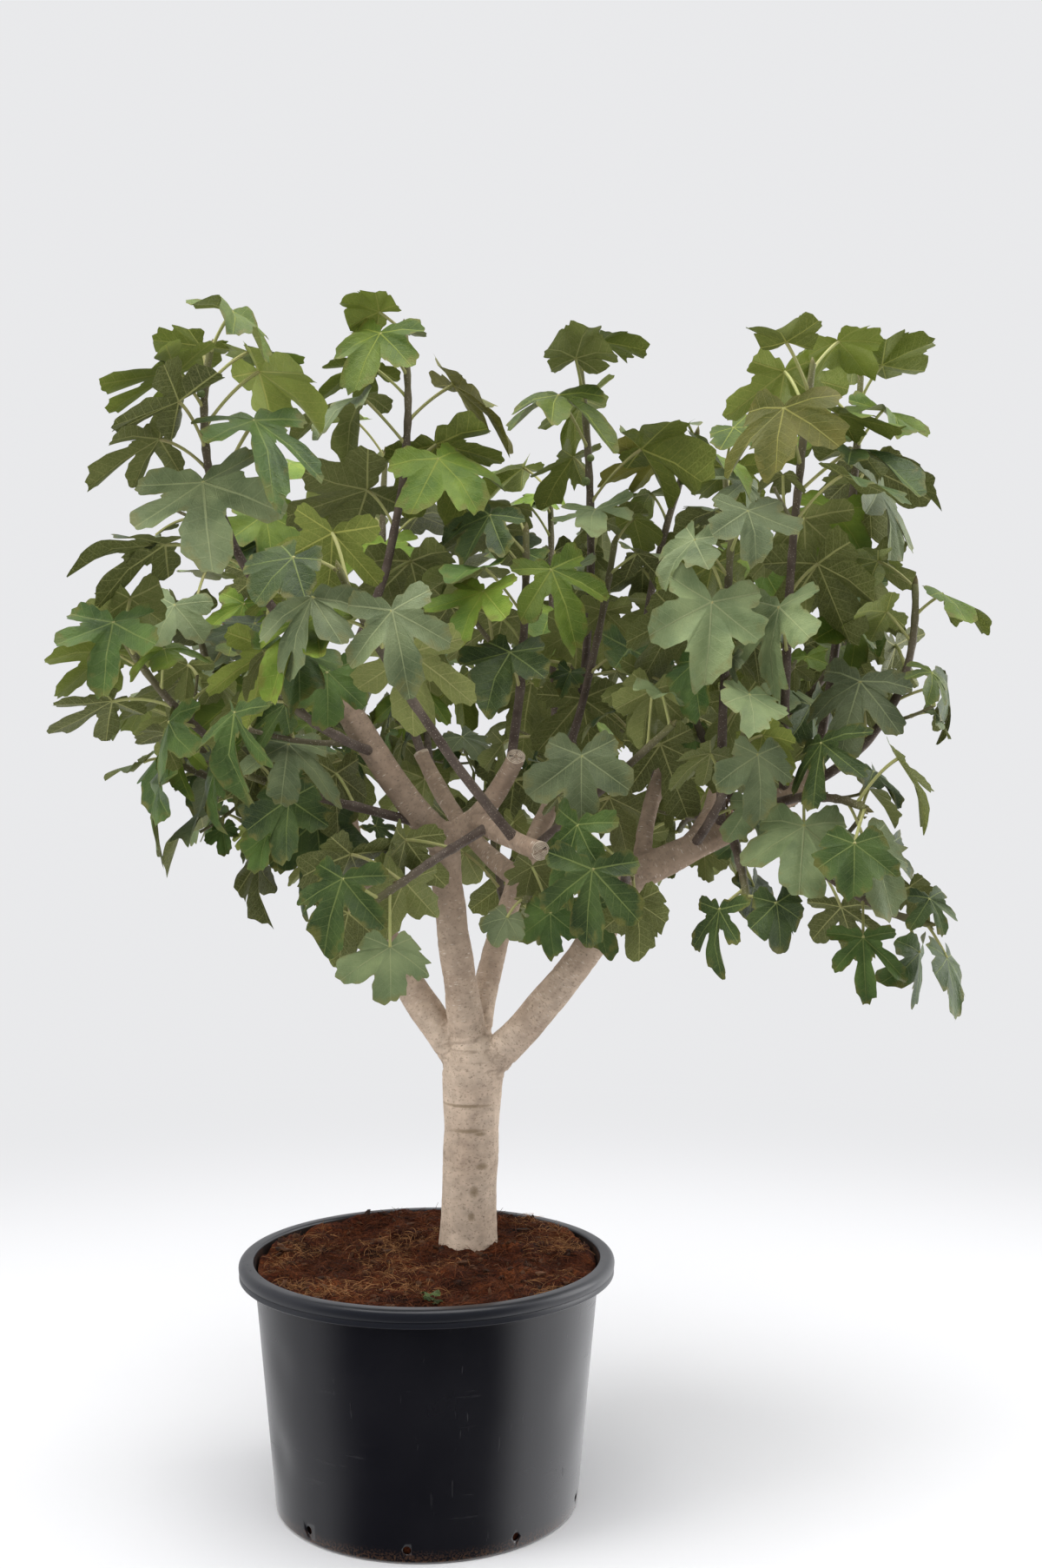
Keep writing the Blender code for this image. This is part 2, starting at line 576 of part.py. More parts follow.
def build_soil(collection):
    """Potting soil that fills the pot, a hair clear of its wall and floor."""
    inner_neck = NECK_RADIUS - POT_WALL
    inner_base = BASE_RADIUS - POT_WALL
    slope = (inner_neck - inner_base) / (POT_HEIGHT - RIM_HEIGHT - POT_FLOOR)
    clear = GAP * 1.5
    shoulder = POT_HEIGHT - RIM_HEIGHT - 0.004
    rim = inner_base + slope * (shoulder - POT_FLOOR) - clear
    bm = bmesh.new()
    profile = [(0.0, SOIL_TOP)]
    for index in range(1, SOIL_RINGS):
        profile.append((rim * index / SOIL_RINGS, SOIL_TOP))
    profile += [(rim, SOIL_EDGE), (rim, shoulder), (inner_base - clear, POT_FLOOR + clear), (0.0, POT_FLOOR + clear)]
    verts = [bm.verts.new((radius, 0, height)) for radius, height in profile]
    edges = [bm.edges.new((one, two)) for one, two in zip(verts, verts[1:])]
    bmesh.ops.spin(bm, geom=verts + edges, axis=(0, 0, 1), cent=(0, 0, 0), steps=POT_SIDES,
                   angle=math.tau, use_merge=True)
    bmesh.ops.remove_doubles(bm, verts=bm.verts, dist=0.0001)
    for vert in bm.verts:
        if vert.co.z > shoulder + 0.001:
            vert.co.z = min(soil_height(vert.co), SOIL_TOP)
    return new_object("soil", bm, collection, "soil")


def build_limbs(tree, collection, clearance):
    """Trunk and boughs: each limb's foot is cut clear of the limbs that were there before it."""
    made = []
    for name in ["trunk"] + [limb.name for limb in LIMBS]:
        body = tree.limb_tube(name)
        shape = shape_of(body)
        item = new_object(name, body, collection, "bark")
        cutters = []
        for earlier in made:
            swollen = tree.limb_tube(earlier, GAP * 1.1)
            if shape.overlap(shape_of(swollen)):
                cutters.append(new_object("cut_" + earlier, swollen, collection, "bark"))
            else:
                swollen.free()
        if cutters:
            join(item, [], cutters, collection)
            keep_largest(item)
            for cutter in cutters:
                bpy.data.objects.remove(cutter)
        made.append(name)
        solid = tree.limb_tube(name, GAP)
        clearance.add(name, solid)
        solid.free()


def build_stems(tree, clearance):
    """Every shoot's stem and side twigs, before any leaf grows."""
    stems = {}
    for shoot in SHOOTS:
        bodies = [stem_tube(*tree.stem(shoot), STEM_FOOT, STEM_TIP, STEM_RINGS)]
        for twig in tree.twigs(shoot):
            bodies.append(stem_tube(*twig, TWIG_FOOT, TWIG_TIP, 2))
        for body in bodies:
            clearance.add(shoot.name, body)
        stems[shoot.name] = bodies
    return stems


def build_mass(tree, shoot, bodies, collection, clearance):
    """One mass of foliage: its stem cut clear of the limbs, its twigs, and the leaves that fit."""
    name = "foliage_" + shoot.name
    shape = shape_of(bodies[0])
    stem = new_object(name, bodies[0], collection, "leaf")
    cutters = []
    for limb_name in tree.starts:
        swollen = tree.limb_tube(limb_name, GAP * 1.1)
        if shape.overlap(shape_of(swollen)):
            cutters.append(new_object("cut_" + limb_name, swollen, collection, "bark"))
        else:
            swollen.free()
    join(stem, [], cutters, collection)
    keep_largest(stem)
    for cutter in cutters:
        bpy.data.objects.remove(cutter)
    fused = [new_object(name + "_twig", body, collection, "leaf") for body in bodies[1:]]
    for index, (node, full) in enumerate(shoot_nodes(tree, shoot)):
        if shoot.word[index] == LEFT_OUT:
            continue
        leaf = shoot_leaf(shoot, index, node, full, shoot.word[index])
        if clearance.leaf_clear(leaf, shoot.name):
            body = leaf_mesh(leaf)
            clearance.add(shoot.name + "_leaves", body)
            fused.append(new_object(name + "_leaf", body, collection, "leaf"))
    join(stem, fused, [], collection)
    keep_largest(stem)


def build():
    clear_scene()
    collection = bpy.data.collections.new(OBJECT_NAME)
    bpy.context.scene.collection.children.link(collection)
    cutters = bpy.data.collections.new("cutters")
    bpy.context.scene.collection.children.link(cutters)
    build_pot(collection, cutters)
    build_soil(collection)
    tree = Tree()
    clearance = Clearance()
    build_limbs(tree, collection, clearance)
    stems = build_stems(tree, clearance)
    for shoot in SHOOTS:
        build_mass(tree, shoot, stems[shoot.name], collection, clearance)


build()
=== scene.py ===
"""Looks of a fig tree in a black nursery pot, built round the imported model, in metres, +Z up."""

import json
import math
import random
from collections import namedtuple

import bmesh
import bpy
import numpy as np
from mathutils import Matrix, Vector, noise
from mathutils.bvhtree import BVHTree
from mathutils.kdtree import KDTree

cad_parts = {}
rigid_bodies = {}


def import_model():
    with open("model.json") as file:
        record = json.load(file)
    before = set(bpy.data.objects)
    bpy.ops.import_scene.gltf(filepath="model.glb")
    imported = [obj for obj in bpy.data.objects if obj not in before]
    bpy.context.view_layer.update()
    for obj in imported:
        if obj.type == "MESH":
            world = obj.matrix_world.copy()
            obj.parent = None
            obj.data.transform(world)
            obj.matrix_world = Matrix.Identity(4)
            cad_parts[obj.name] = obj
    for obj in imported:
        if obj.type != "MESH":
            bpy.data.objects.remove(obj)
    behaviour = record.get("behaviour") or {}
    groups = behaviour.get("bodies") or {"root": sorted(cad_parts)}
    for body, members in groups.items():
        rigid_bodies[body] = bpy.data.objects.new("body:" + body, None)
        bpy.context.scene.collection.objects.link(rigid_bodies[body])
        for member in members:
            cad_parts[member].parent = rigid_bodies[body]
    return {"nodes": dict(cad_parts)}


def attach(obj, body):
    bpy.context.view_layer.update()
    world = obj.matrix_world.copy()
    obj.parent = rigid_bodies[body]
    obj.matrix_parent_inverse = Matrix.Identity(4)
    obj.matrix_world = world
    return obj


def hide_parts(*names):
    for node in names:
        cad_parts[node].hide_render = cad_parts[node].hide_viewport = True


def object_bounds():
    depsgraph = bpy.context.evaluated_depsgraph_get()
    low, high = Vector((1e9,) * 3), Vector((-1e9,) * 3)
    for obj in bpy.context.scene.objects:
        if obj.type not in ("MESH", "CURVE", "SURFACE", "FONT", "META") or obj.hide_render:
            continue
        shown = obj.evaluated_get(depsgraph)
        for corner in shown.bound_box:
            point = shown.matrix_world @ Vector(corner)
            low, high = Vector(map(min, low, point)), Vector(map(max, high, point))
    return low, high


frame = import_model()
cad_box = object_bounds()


# Studio: a pale floor and a white hall that is dark only behind the camera, where its mouth is.
# The camera stands 3.4 m in front of the pot at 1.45 m and looks level, as the photograph does.
CAMERA_PLACE = (0.190, -3.424, 1.4475)
CAMERA_LENS = 38.63
SENSOR = 36.0
FLOOR_SIZE = 60.0
FLOOR_FADE = (1.0, 4.6)
FLOOR_COLOUR = (0.80, 0.80, 0.81)
HALL_COLOUR = (0.815, 0.818, 0.832)
HALL_LIGHT = 0.86
HALL_GLOSS = (1.0, 2.2)
MOUTH_SHADE = 0.06
MOUTH_EDGE = (-0.93, -0.86)
MOUTH_EDGE_IN_GLOSS = (-0.62, -0.12)
# Each lamp's place, what it faces, its size, its power, and whether the pot mirrors it
LAMPS = {
    "roof_light": ((0.0, -0.6, 5.2), (0.1, 0.1, 0.8), (5.0, 4.0), 215, True),
    "left_light": ((-3.6, -1.8, 2.4), (0.1, 0.1, 1.2), (2.2, 3.6), 85, False),
    "right_light": ((4.2, 0.7, 2.0), (0.1, 0.1, 1.0), (2.6, 3.6), 80, True),
}
SHARP_ANGLE = 42


def put(name, data):
    """Put a mesh, lamp or camera in the scene."""
    item = bpy.data.objects.new(name, data)
    bpy.context.scene.collection.objects.link(item)
    return item


camera = put("camera", bpy.data.cameras.new("camera"))
camera.data.sensor_width = SENSOR
camera.data.lens = CAMERA_LENS
camera.location = CAMERA_PLACE
camera.rotation_euler = (math.radians(90), 0, 0)
bpy.context.scene.camera = camera
bpy.context.scene.view_settings.view_transform = "Standard"

for name, (place, target, size, power, mirrored) in LAMPS.items():
    lamp = put(name, bpy.data.lights.new(name, "AREA"))
    lamp.visible_glossy = mirrored
    lamp.data.shape = "RECTANGLE"
    lamp.data.size, lamp.data.size_y = size
    lamp.data.energy = power
    lamp.location = place
    lamp.rotation_euler = (Vector(target) - Vector(place)).to_track_quat("-Z", "Y").to_euler()


def new_node(tree, kind, inputs=None, **settings):
    """A shader node with its settings and its inputs, each a socket, a colour or a number."""
    node = tree.nodes.new("ShaderNode" + kind)
    for setting, value in settings.items():
        setattr(node, setting, value)
    for name, value in (inputs or {}).items():
        socket = node.inputs[name]
        if isinstance(value, bpy.types.NodeSocket):
            tree.links.new(value, socket)
        elif socket.type == "RGBA":
            socket.default_value = (*value, 1)
        else:
            socket.default_value = value
    return node


def spread(tree, value, low, high, to_low, to_high, way="LINEAR"):
    """Map a value from one range to another, clamped."""
    inputs = {"Value": value, "From Min": low, "From Max": high, "To Min": to_low, "To Max": to_high}
    return new_node(tree, "MapRange", inputs, interpolation_type=way).outputs["Result"]


def math_node(tree, operation, one, two=0.0):
    return new_node(tree, "Math", {0: one, 1: two}, operation=operation).outputs["Value"]


def times(tree, one, two):
    return math_node(tree, "MULTIPLY", one, two)


def plus(tree, one, two):
    return math_node(tree, "ADD", one, two)


def minus(tree, one, two):
    return math_node(tree, "SUBTRACT", one, two)


def mix(tree, factor, one, two, blend="MIX"):
    """Blend two colours, each a socket or three numbers, by a factor socket or number."""
    node = new_node(tree, "Mix", {"Factor": factor, "A": one, "B": two}, data_type="RGBA", blend_type=blend)
    return next(out for out in node.outputs if out.type == "RGBA")


def axes_of(tree, vector):
    return new_node(tree, "SeparateXYZ", {"Vector": vector}).outputs


def hall_world():
    """White all round for what the camera sees, with a dark mouth at -Y in its light and its gloss."""
    world = bpy.data.worlds.new("hall")
    bpy.context.scene.world = world
    world.use_nodes = True
    tree = world.node_tree
    tree.nodes.clear()
    side = axes_of(tree, new_node(tree, "TexCoord").outputs["Generated"])
    light = spread(tree, side["Y"], *MOUTH_EDGE, MOUTH_SHADE, HALL_LIGHT, "SMOOTHSTEP")
    gloss = spread(tree, side["Y"], *MOUTH_EDGE_IN_GLOSS, MOUTH_SHADE, 1.0, "SMOOTHSTEP")
    gloss = times(tree, gloss, spread(tree, side["X"], 0.0, 1.0, *HALL_GLOSS, "SMOOTHSTEP"))
    seen = new_node(tree, "LightPath").outputs
    kind = new_node(tree, "Mix", {"Factor": seen["Is Glossy Ray"], "A": light, "B": gloss})
    strength = math_node(tree, "MAXIMUM", kind.outputs["Result"], seen["Is Camera Ray"])
    white = new_node(tree, "Background", {"Color": HALL_COLOUR, "Strength": strength})
    out = new_node(tree, "OutputWorld")
    tree.links.new(white.outputs["Background"], out.inputs["Surface"])


hall_world()


def plain_material(name, colour, roughness, specular=0.5):
    """A material, its node tree and its Principled shader."""
    material = bpy.data.materials.new(name)
    material.use_nodes = True
    shader = material.node_tree.nodes["Principled BSDF"]
    shader.inputs["Base Color"].default_value = (*colour, 1)
    shader.inputs["Roughness"].default_value = roughness
    shader.inputs["Specular IOR Level"].default_value = specular
    return material, material.node_tree, shader


def finished(name, mesh, materials, sharp):
    """A mesh object with its materials, smooth but for its sharp edges."""
    for material in materials:
        mesh.materials.append(material)
    mesh.shade_smooth()
    mesh.set_sharp_from_angle(angle=math.radians(sharp))
    return put(name, mesh)


def new_piece(name, bm, *materials):
    mesh = bpy.data.meshes.new(name)
    bm.to_mesh(mesh)
    bm.free()
    return finished(name, mesh, materials, SHARP_ANGLE)


def studio_floor():
    """A pale matt floor that turns into the hall's own white a few metres away, with no line between."""
    bm = bmesh.new()
    bmesh.ops.create_grid(bm, x_segments=1, y_segments=1, size=FLOOR_SIZE / 2)
    material, tree, shader = plain_material("floor paint", FLOOR_COLOUR, 0.9, 0.0)
    shader.inputs["Emission Strength"].default_value = 1.0
    place = new_node(tree, "TexCoord").outputs["Object"]
    away = new_node(tree, "VectorMath", {0: place}, operation="LENGTH").outputs["Value"]
    fade = spread(tree, away, *FLOOR_FADE, 0.0, 1.0, "SMOOTHSTEP")
    tree.links.new(mix(tree, fade, FLOOR_COLOUR, (0, 0, 0)), shader.inputs["Base Color"])
    tree.links.new(mix(tree, fade, (0, 0, 0), HALL_COLOUR), shader.inputs["Emission Color"])
    floor = new_piece("floor", bm, material)
    floor.visible_glossy = False


studio_floor()


# Pot: one thick-walled blow-moulded tub of black polyethylene, 0.76 m across its rolled rim.  It is
# scuffed and a little dented from handling, and water drains through holes low in its wall.
POT_HEIGHT = 0.493
RIM_RADIUS = 0.380
RIM_HEIGHT = 0.034
NECK_RADIUS = 0.348
BASE_RADIUS = 0.306
BASE_EDGE = 0.008
MOUTH_RADIUS = 0.350
POT_WALL = 0.006
POT_FLOOR = 0.007
POT_TURN = 160
WALL_ROWS = 26
DRAIN_HOLES = 9
DRAIN_RADIUS = 0.008
DRAIN_HEIGHT = 0.027
DRAIN_FIRST_ANGLE = math.radians(-94)
# Roundings of the lip, the rim and the neck, and the rest of the rim's section, inwards and up
LIP_ROUND = 0.005
RIM_ROUND = 0.012
NECK_ROUND = 0.003
RIM_SECTION = ((0.0008, 0.014), (0.0030, 0.0115), (0.0012, 0.009), (0.0012, 0.002), (0.0035, 0.0),
               (0.0080, 0.0005))
# Dents in the wall: bearing, height, reach and depth
DENTS = ((-150, 0.150, 0.070, 0.0045), (-143, 0.335, 0.060, 0.0022), (-28, 0.250, 0.080, 0.0020),
         (72, 0.210, 0.090, 0.0030))
WALL_WAVE = 0.0012
# The plastic's colours carry a faint blue cast, painted in for the bluish light of the hall.
PLASTIC = (0.006, 0.006, 0.009)
PLASTIC_DUSTY = (0.014, 0.0135, 0.018)
PLASTIC_SCRATCHED = (0.070, 0.068, 0.070)
PLASTIC_STAINED = (0.090, 0.045, 0.025)
PLASTIC_RIM = (0.011, 0.012, 0.017)
INSIDE_COLOURS = ((0.35, (0.008, 0.007, 0.007)), (0.70, (0.050, 0.022, 0.012)))


def clamped(value):
    return min(max(value, 0), 1)


def between(one, other):
    """The angle from one bearing to another, less than half a turn either way."""
    return math.atan2(math.sin(one - other), math.cos(one - other))


def arc(centre, radius, start, end, steps):
    """Points of an arc in a turned profile, as (distance from the axis, height)."""
    points = []
    for index in range(steps + 1):
        angle = math.radians(start + (end - start) * index / steps)
        points.append((centre[0] + radius * math.cos(angle), centre[1] + radius * math.sin(angle)))
    return points


def pot_profile():
    """From the middle of the inner floor up the inside, over the rim and down to the underside."""
    foot = POT_HEIGHT - RIM_HEIGHT
    points = [(0.0, POT_FLOOR), (BASE_RADIUS - POT_WALL, POT_FLOOR), (NECK_RADIUS - POT_WALL, foot)]
    points += arc((MOUTH_RADIUS + LIP_ROUND, POT_HEIGHT - LIP_ROUND), LIP_ROUND, 180, 90, 4)
    points += arc((RIM_RADIUS - RIM_ROUND, POT_HEIGHT - RIM_ROUND), RIM_ROUND, 90, 0, 6)
    points += [(RIM_RADIUS - inwards, foot + up) for inwards, up in RIM_SECTION]
    points.append((NECK_RADIUS + NECK_ROUND, foot + 0.004))
    points += arc((NECK_RADIUS + NECK_ROUND, foot + 0.001), NECK_ROUND, 90, 180, 3)
    for row in range(1, WALL_ROWS):
        share = row / WALL_ROWS
        radius = NECK_RADIUS - (NECK_RADIUS - BASE_RADIUS) * share
        points.append((radius, foot * (1 - share) + BASE_EDGE * share))
    points += arc((BASE_RADIUS - BASE_EDGE, BASE_EDGE), BASE_EDGE, 0, -90, 5)
    points += [(BASE_RADIUS * 0.90, 0.0), (BASE_RADIUS * 0.88, 0.0015), (0.0, 0.0015)]
    return points


def turned(profile, steps):
    """Spin a profile round Z into a closed shell with its faces pointing out."""
    bm = bmesh.new()
    verts = [bm.verts.new((radius, 0, height)) for radius, height in profile]
    edges = [bm.edges.new(pair) for pair in zip(verts, verts[1:])]
    bmesh.ops.spin(bm, geom=verts + edges, axis=(0, 0, 1), cent=(0, 0, 0), steps=steps,
                   angle=math.tau, use_merge=True)
    bmesh.ops.remove_doubles(bm, verts=bm.verts, dist=0.00005)
    bmesh.ops.recalc_face_normals(bm, faces=bm.faces)
    return bm


def dented(place):
    """The wall's dents and its slight waves, which fade out at the rim and the base."""
    bearing = math.atan2(place.y, place.x)
    depth = 0.0
    for degrees, height, reach, dent in DENTS:
        away = math.hypot(between(bearing, math.radians(degrees)) * BASE_RADIUS, place.z - height) / reach
        depth += dent * math.exp(-away * away * 2.5)
    wave = noise.noise(Vector((math.cos(bearing) * 1.7, math.sin(bearing) * 1.7, place.z * 3.0)))
    fade = clamped((place.z - BASE_EDGE) / 0.05) * clamped((POT_HEIGHT - RIM_HEIGHT - place.z) / 0.04)
    return (depth + WALL_WAVE * (0.5 + 0.5 * wave)) * fade


def speckle_group():
    """Noise on the surface's own place: a wide mottle and a fine grain."""
    tree = bpy.data.node_groups.new("mottle and grain", "ShaderNodeTree")
    tree.interface.new_socket(name="Place", in_out="INPUT", socket_type="NodeSocketVector")
    for name in ("Mottle", "Grain"):
        tree.interface.new_socket(name=name + " Scale", in_out="INPUT", socket_type="NodeSocketFloat")
        tree.interface.new_socket(name=name, in_out="OUTPUT", socket_type="NodeSocketFloat")
    start = tree.nodes.new("NodeGroupInput").outputs
    end = tree.nodes.new("NodeGroupOutput")
    for name in ("Mottle", "Grain"):
        inputs = {"Vector": start["Place"], "Scale": start[name + " Scale"], "Detail": 4.0}
        tree.links.new(new_node(tree, "TexNoise", inputs).outputs["Fac"], end.inputs[name])
    return tree


mottle_and_grain = speckle_group()


def speckle(tree, place, mottle_scale, grain_scale):
    inputs = {"Place": place, "Mottle Scale": mottle_scale, "Grain Scale": grain_scale}
    return new_node(tree, "Group", inputs, node_tree=mottle_and_grain).outputs


def noise_on(tree, place, scale, detail):
    return new_node(tree, "TexNoise", {"Vector": place, "Scale": scale, "Detail": detail}).outputs["Fac"]


def ramp(tree, value, *stops):
    """A colour ramp over stops, each its position and its colour or one grey."""
    node = new_node(tree, "ValToRGB", {"Fac": value})
    while len(node.color_ramp.elements) < len(stops):
        node.color_ramp.elements.new(0.5)
    for element, (position, colour) in zip(node.color_ramp.elements, stops):
        element.position = position
        element.color = (*colour, 1) if isinstance(colour, tuple) else (colour, colour, colour, 1)
    return node.outputs["Color"]


def paint(tree, shader, colour, relief, strength, distance):
    """Give a material its colour, and its surface a relief."""
    bump = new_node(tree, "Bump", {"Height": relief, "Strength": strength, "Distance": distance})
    tree.links.new(colour, shader.inputs["Base Color"])
    tree.links.new(bump.outputs["Normal"], shader.inputs["Normal"])


def object_place(tree, scale=(1, 1, 1)):
    """The surface's own place in the object, stretched by a scale."""
    place = new_node(tree, "TexCoord").outputs["Object"]
    return new_node(tree, "Mapping", {"Vector": place, "Scale": scale}).outputs["Vector"]


def pot_plastic():
    """Black polyethylene with a faint painted blue cast of the hall's light: satin, cloudy with old dust,
    scratched up and down, stained near the floor.
    """
    material, tree, shader = plain_material("black polyethylene", (0.008, 0.008, 0.010), 0.26, 0.42)
    place = object_place(tree)
    height = axes_of(tree, place)["Z"]
    noisy = speckle(tree, place, 5.0, 260.0)
    scratches = noise_on(tree, object_place(tree, (1.0, 1.0, 0.12)), 90.0, 2.0)
    scuffs = noise_on(tree, object_place(tree, (0.25, 0.25, 3.0)), 26.0, 3.0)
    marks = math_node(tree, "MAXIMUM", spread(tree, scratches, 0.69, 0.73, 0.0, 1.0),
                      spread(tree, scuffs, 0.64, 0.74, 0.0, 0.8))
    patches = spread(tree, noisy["Mottle"], 0.42, 0.66, 0.0, 1.0)
    marks = times(tree, marks, patches)
    low = spread(tree, height, 0.002, 0.030, 1.0, 0.0)
    grime = times(tree, low, spread(tree, noisy["Grain"], 0.45, 0.62, 0.0, 1.0))
    foot = POT_HEIGHT - RIM_HEIGHT
    rim = spread(tree, height, foot - 0.002, foot + 0.002, 0.0, 1.0)
    colour = mix(tree, times(tree, patches, 0.35), PLASTIC, PLASTIC_DUSTY)
    colour = mix(tree, times(tree, marks, 0.40), colour, PLASTIC_SCRATCHED)
    colour = mix(tree, grime, colour, PLASTIC_STAINED)
    colour = mix(tree, rim, colour, PLASTIC_RIM)
    roughness = plus(tree, spread(tree, noisy["Mottle"], 0.3, 0.7, 0.17, 0.28), times(tree, rim, 0.12))
    roughness = plus(tree, roughness, times(tree, marks, 0.25))
    tree.links.new(roughness, shader.inputs["Roughness"])
    paint(tree, shader, colour, plus(tree, times(tree, noisy["Grain"], 0.5), marks), 0.12, 0.0006)
    return material


def pot_inside():
    """The same plastic inside, dull with dried soil."""
    material, tree, shader = plain_material("soiled polyethylene", (0.012, 0.009, 0.008), 0.75, 0.15)
    noisy = speckle(tree, object_place(tree), 14.0, 190.0)
    paint(tree, shader, ramp(tree, noisy["Mottle"], *INSIDE_COLOURS), noisy["Grain"], 0.3, 0.001)
    return material


def apply_modifiers(piece):
    """Keep what the modifiers make, and drop them."""
    depsgraph = bpy.context.evaluated_depsgraph_get()
    mesh = bpy.data.meshes.new_from_object(piece.evaluated_get(depsgraph))
    piece.modifiers.clear()
    piece.data = mesh


def build_pot():
    bm = turned(pot_profile(), POT_TURN)
    for vert in bm.verts:
        away = vert.co.xy.length
        if away > BASE_RADIUS - 2 * POT_WALL:
            push = 1 - dented(vert.co) / away
            vert.co.x *= push
            vert.co.y *= push
    bm.normal_update()
    for face in bm.faces:
        centre = face.calc_center_median()
        inward = face.normal.dot(centre.normalized()) < -0.1 and centre.z > POT_FLOOR / 2
        if inward and centre.xy.length < MOUTH_RADIUS:
            face.material_index = 1
    pot = new_piece("nursery_pot", bm, pot_plastic(), pot_inside())
    bm = bmesh.new()
    for index in range(DRAIN_HOLES):
        angle = DRAIN_FIRST_ANGLE + math.tau * index / DRAIN_HOLES
        place = (Matrix.Rotation(angle, 4, "Z") @ Matrix.Translation((BASE_RADIUS, 0, DRAIN_HEIGHT))
                 @ Matrix.Rotation(math.pi / 2, 4, "Y"))
        bmesh.ops.create_cone(bm, cap_ends=True, segments=20, radius1=DRAIN_RADIUS,
                              radius2=DRAIN_RADIUS, depth=0.04, matrix=place)
    drill = new_piece("drill", bm)
    cut = pot.modifiers.new("drain holes", "BOOLEAN")
    cut.operation = "DIFFERENCE"
    cut.object = drill
    cut.solver = "EXACT"
    apply_modifiers(pot)
    bpy.data.objects.remove(drill)
    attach(pot, "root")
    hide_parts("pot")


build_pot()


# Potting soil: coir and bark fibre heaped loosely to just under the rim, banked against the wall at
# the back with a hollow at the back left.  Tan coir strands and darker crumbs lie on top of it.
SOIL_TOP = 0.4885
SOIL_EDGE = 0.474
SOIL_FLAT = 0.11
SOIL_HOLLOW = 0.024
HOLLOW_PLACE = Vector((-0.175, 0.205))
HOLLOW_REACH = 0.085
# Banks against the wall: bearing and height
SOIL_BANKS = ((75, 0.030), (150, 0.016))
SOIL_MOUND = 0.011
MOUND_REACH = 0.13
SOIL_CREST = 0.014
SOIL_TURN = 190
SOIL_RINGS = 74
SOIL_SLACK = 0.001
TRUNK_FOOT = Vector((0.078, 0.080, SOIL_TOP + 0.0003))
# Its lumps: how close they lie, where in the noise they start, and their height
SOIL_LUMPS = ((12, 3.1, 0.0120), (34, 7.7, 0.0105), (110, 1.3, 0.0050))
LUMPS_SINK = 0.0060
SOIL_COLOURS = ((0.30, (0.018, 0.005, 0.002)), (0.50, (0.058, 0.014, 0.005)), (0.68, (0.130, 0.038, 0.012)))
# Painted shade: the soil is darkened where its fine relief is low and brightened where it stands high, along
# its grain
PAINTED_SOIL_SHADE = ((0.32, 0.25), (0.52, 0.85), (0.70, 1.7))
TRUNK_CLEAR = 0.064
STRANDS = 6400
STRAND_LENGTH = (0.010, 0.040)
STRAND_TILT = 0.42
STRAND_LIFT = (-0.0015, 0.0040)
STRAND_SHAPES = 8
FIBRE_THICK = 0.016
# Coir, dark and pale, and where in the noise its patches turn tan
COIR_COLOURS = {
    "rust": ((0.030, 0.009, 0.004), (0.170, 0.052, 0.018)),
    "tan": ((0.17, 0.07, 0.025), (0.44, 0.22, 0.09)),
}
TAN_FROM = 0.22
CRUMBS = 900
CRUMB_SIZE = (0.0012, 0.0085)
CRUMB_COLOURS = ((0.02, 0.009, 0.006), (0.13, 0.06, 0.03))


def soil_level(place):
    """Height of the heap at a place, before its lumps."""
    away = (place.xy - TRUNK_FOOT.xy).length
    edge = clamped((away - SOIL_FLAT) / (RIM_RADIUS - SOIL_FLAT))
    height = SOIL_TOP + (SOIL_EDGE - SOIL_TOP) * edge * edge * (3 - 2 * edge)
    height += SOIL_MOUND * math.exp(-(away / MOUND_REACH) ** 2)
    bearing = math.atan2(place.y, place.x)
    for degrees, bank in SOIL_BANKS:
        facing = max(math.cos(bearing - math.radians(degrees)), 0)
        height += bank * (place.xy.length / MOUTH_RADIUS) ** 2 * facing
    height -= SOIL_HOLLOW * math.exp(-((place.xy - HOLLOW_PLACE).length / HOLLOW_REACH) ** 2)
    return min(height, SOIL_TOP + SOIL_CREST)


def soil_lumps(place):
    """Lumps and loose fibre on the heap, a little of it above the level and most of it below."""
    lumps = (height * noise.noise(Vector((place.x * close, place.y * close, start)))
             for close, start, height in SOIL_LUMPS)
    return sum(lumps, -LUMPS_SINK)


def soil_surface(place):
    settle = clamped((place.xy.length / (NECK_RADIUS - POT_WALL) - 0.97) / 0.03)
    return soil_level(place) + soil_lumps(place) - 0.004 * settle


def soil_material():
    """Reddish-brown coir with painted shade in the hollows of its fine relief, rust and tan where dry fibre
    lies on top.
    """
    material, tree, shader = plain_material("coir potting soil", (0.07, 0.025, 0.012), 0.95, 0.15)
    noisy = speckle(tree, object_place(tree), 16.0, 190.0)
    # The grain that raises the relief also darkens its low parts: painted shade in the hollows.
    shade = ramp(tree, noisy["Grain"], *PAINTED_SOIL_SHADE)
    colour = mix(tree, 1.0, ramp(tree, noisy["Mottle"], *SOIL_COLOURS), shade, "MULTIPLY")
    paint(tree, shader, colour, noisy["Grain"], 0.9, 0.003)
    return material


def build_soil():
    rim = NECK_RADIUS - POT_WALL - SOIL_SLACK
    base = BASE_RADIUS - POT_WALL - SOIL_SLACK
    shoulder = POT_HEIGHT - RIM_HEIGHT - 0.006
    profile = [(0.0, POT_FLOOR + SOIL_SLACK), (base, POT_FLOOR + SOIL_SLACK), (rim, shoulder)]
    for index in range(SOIL_RINGS, -1, -1):
        profile.append((rim * index / SOIL_RINGS, SOIL_EDGE))
    bm = turned(profile, SOIL_TURN)
    for vert in bm.verts:
        if vert.co.z > shoulder + 0.001:
            vert.co.z = soil_surface(vert.co)
    soil = new_piece("potting_soil", bm, soil_material())
    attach(soil, "root")
    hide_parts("soil")


build_soil()


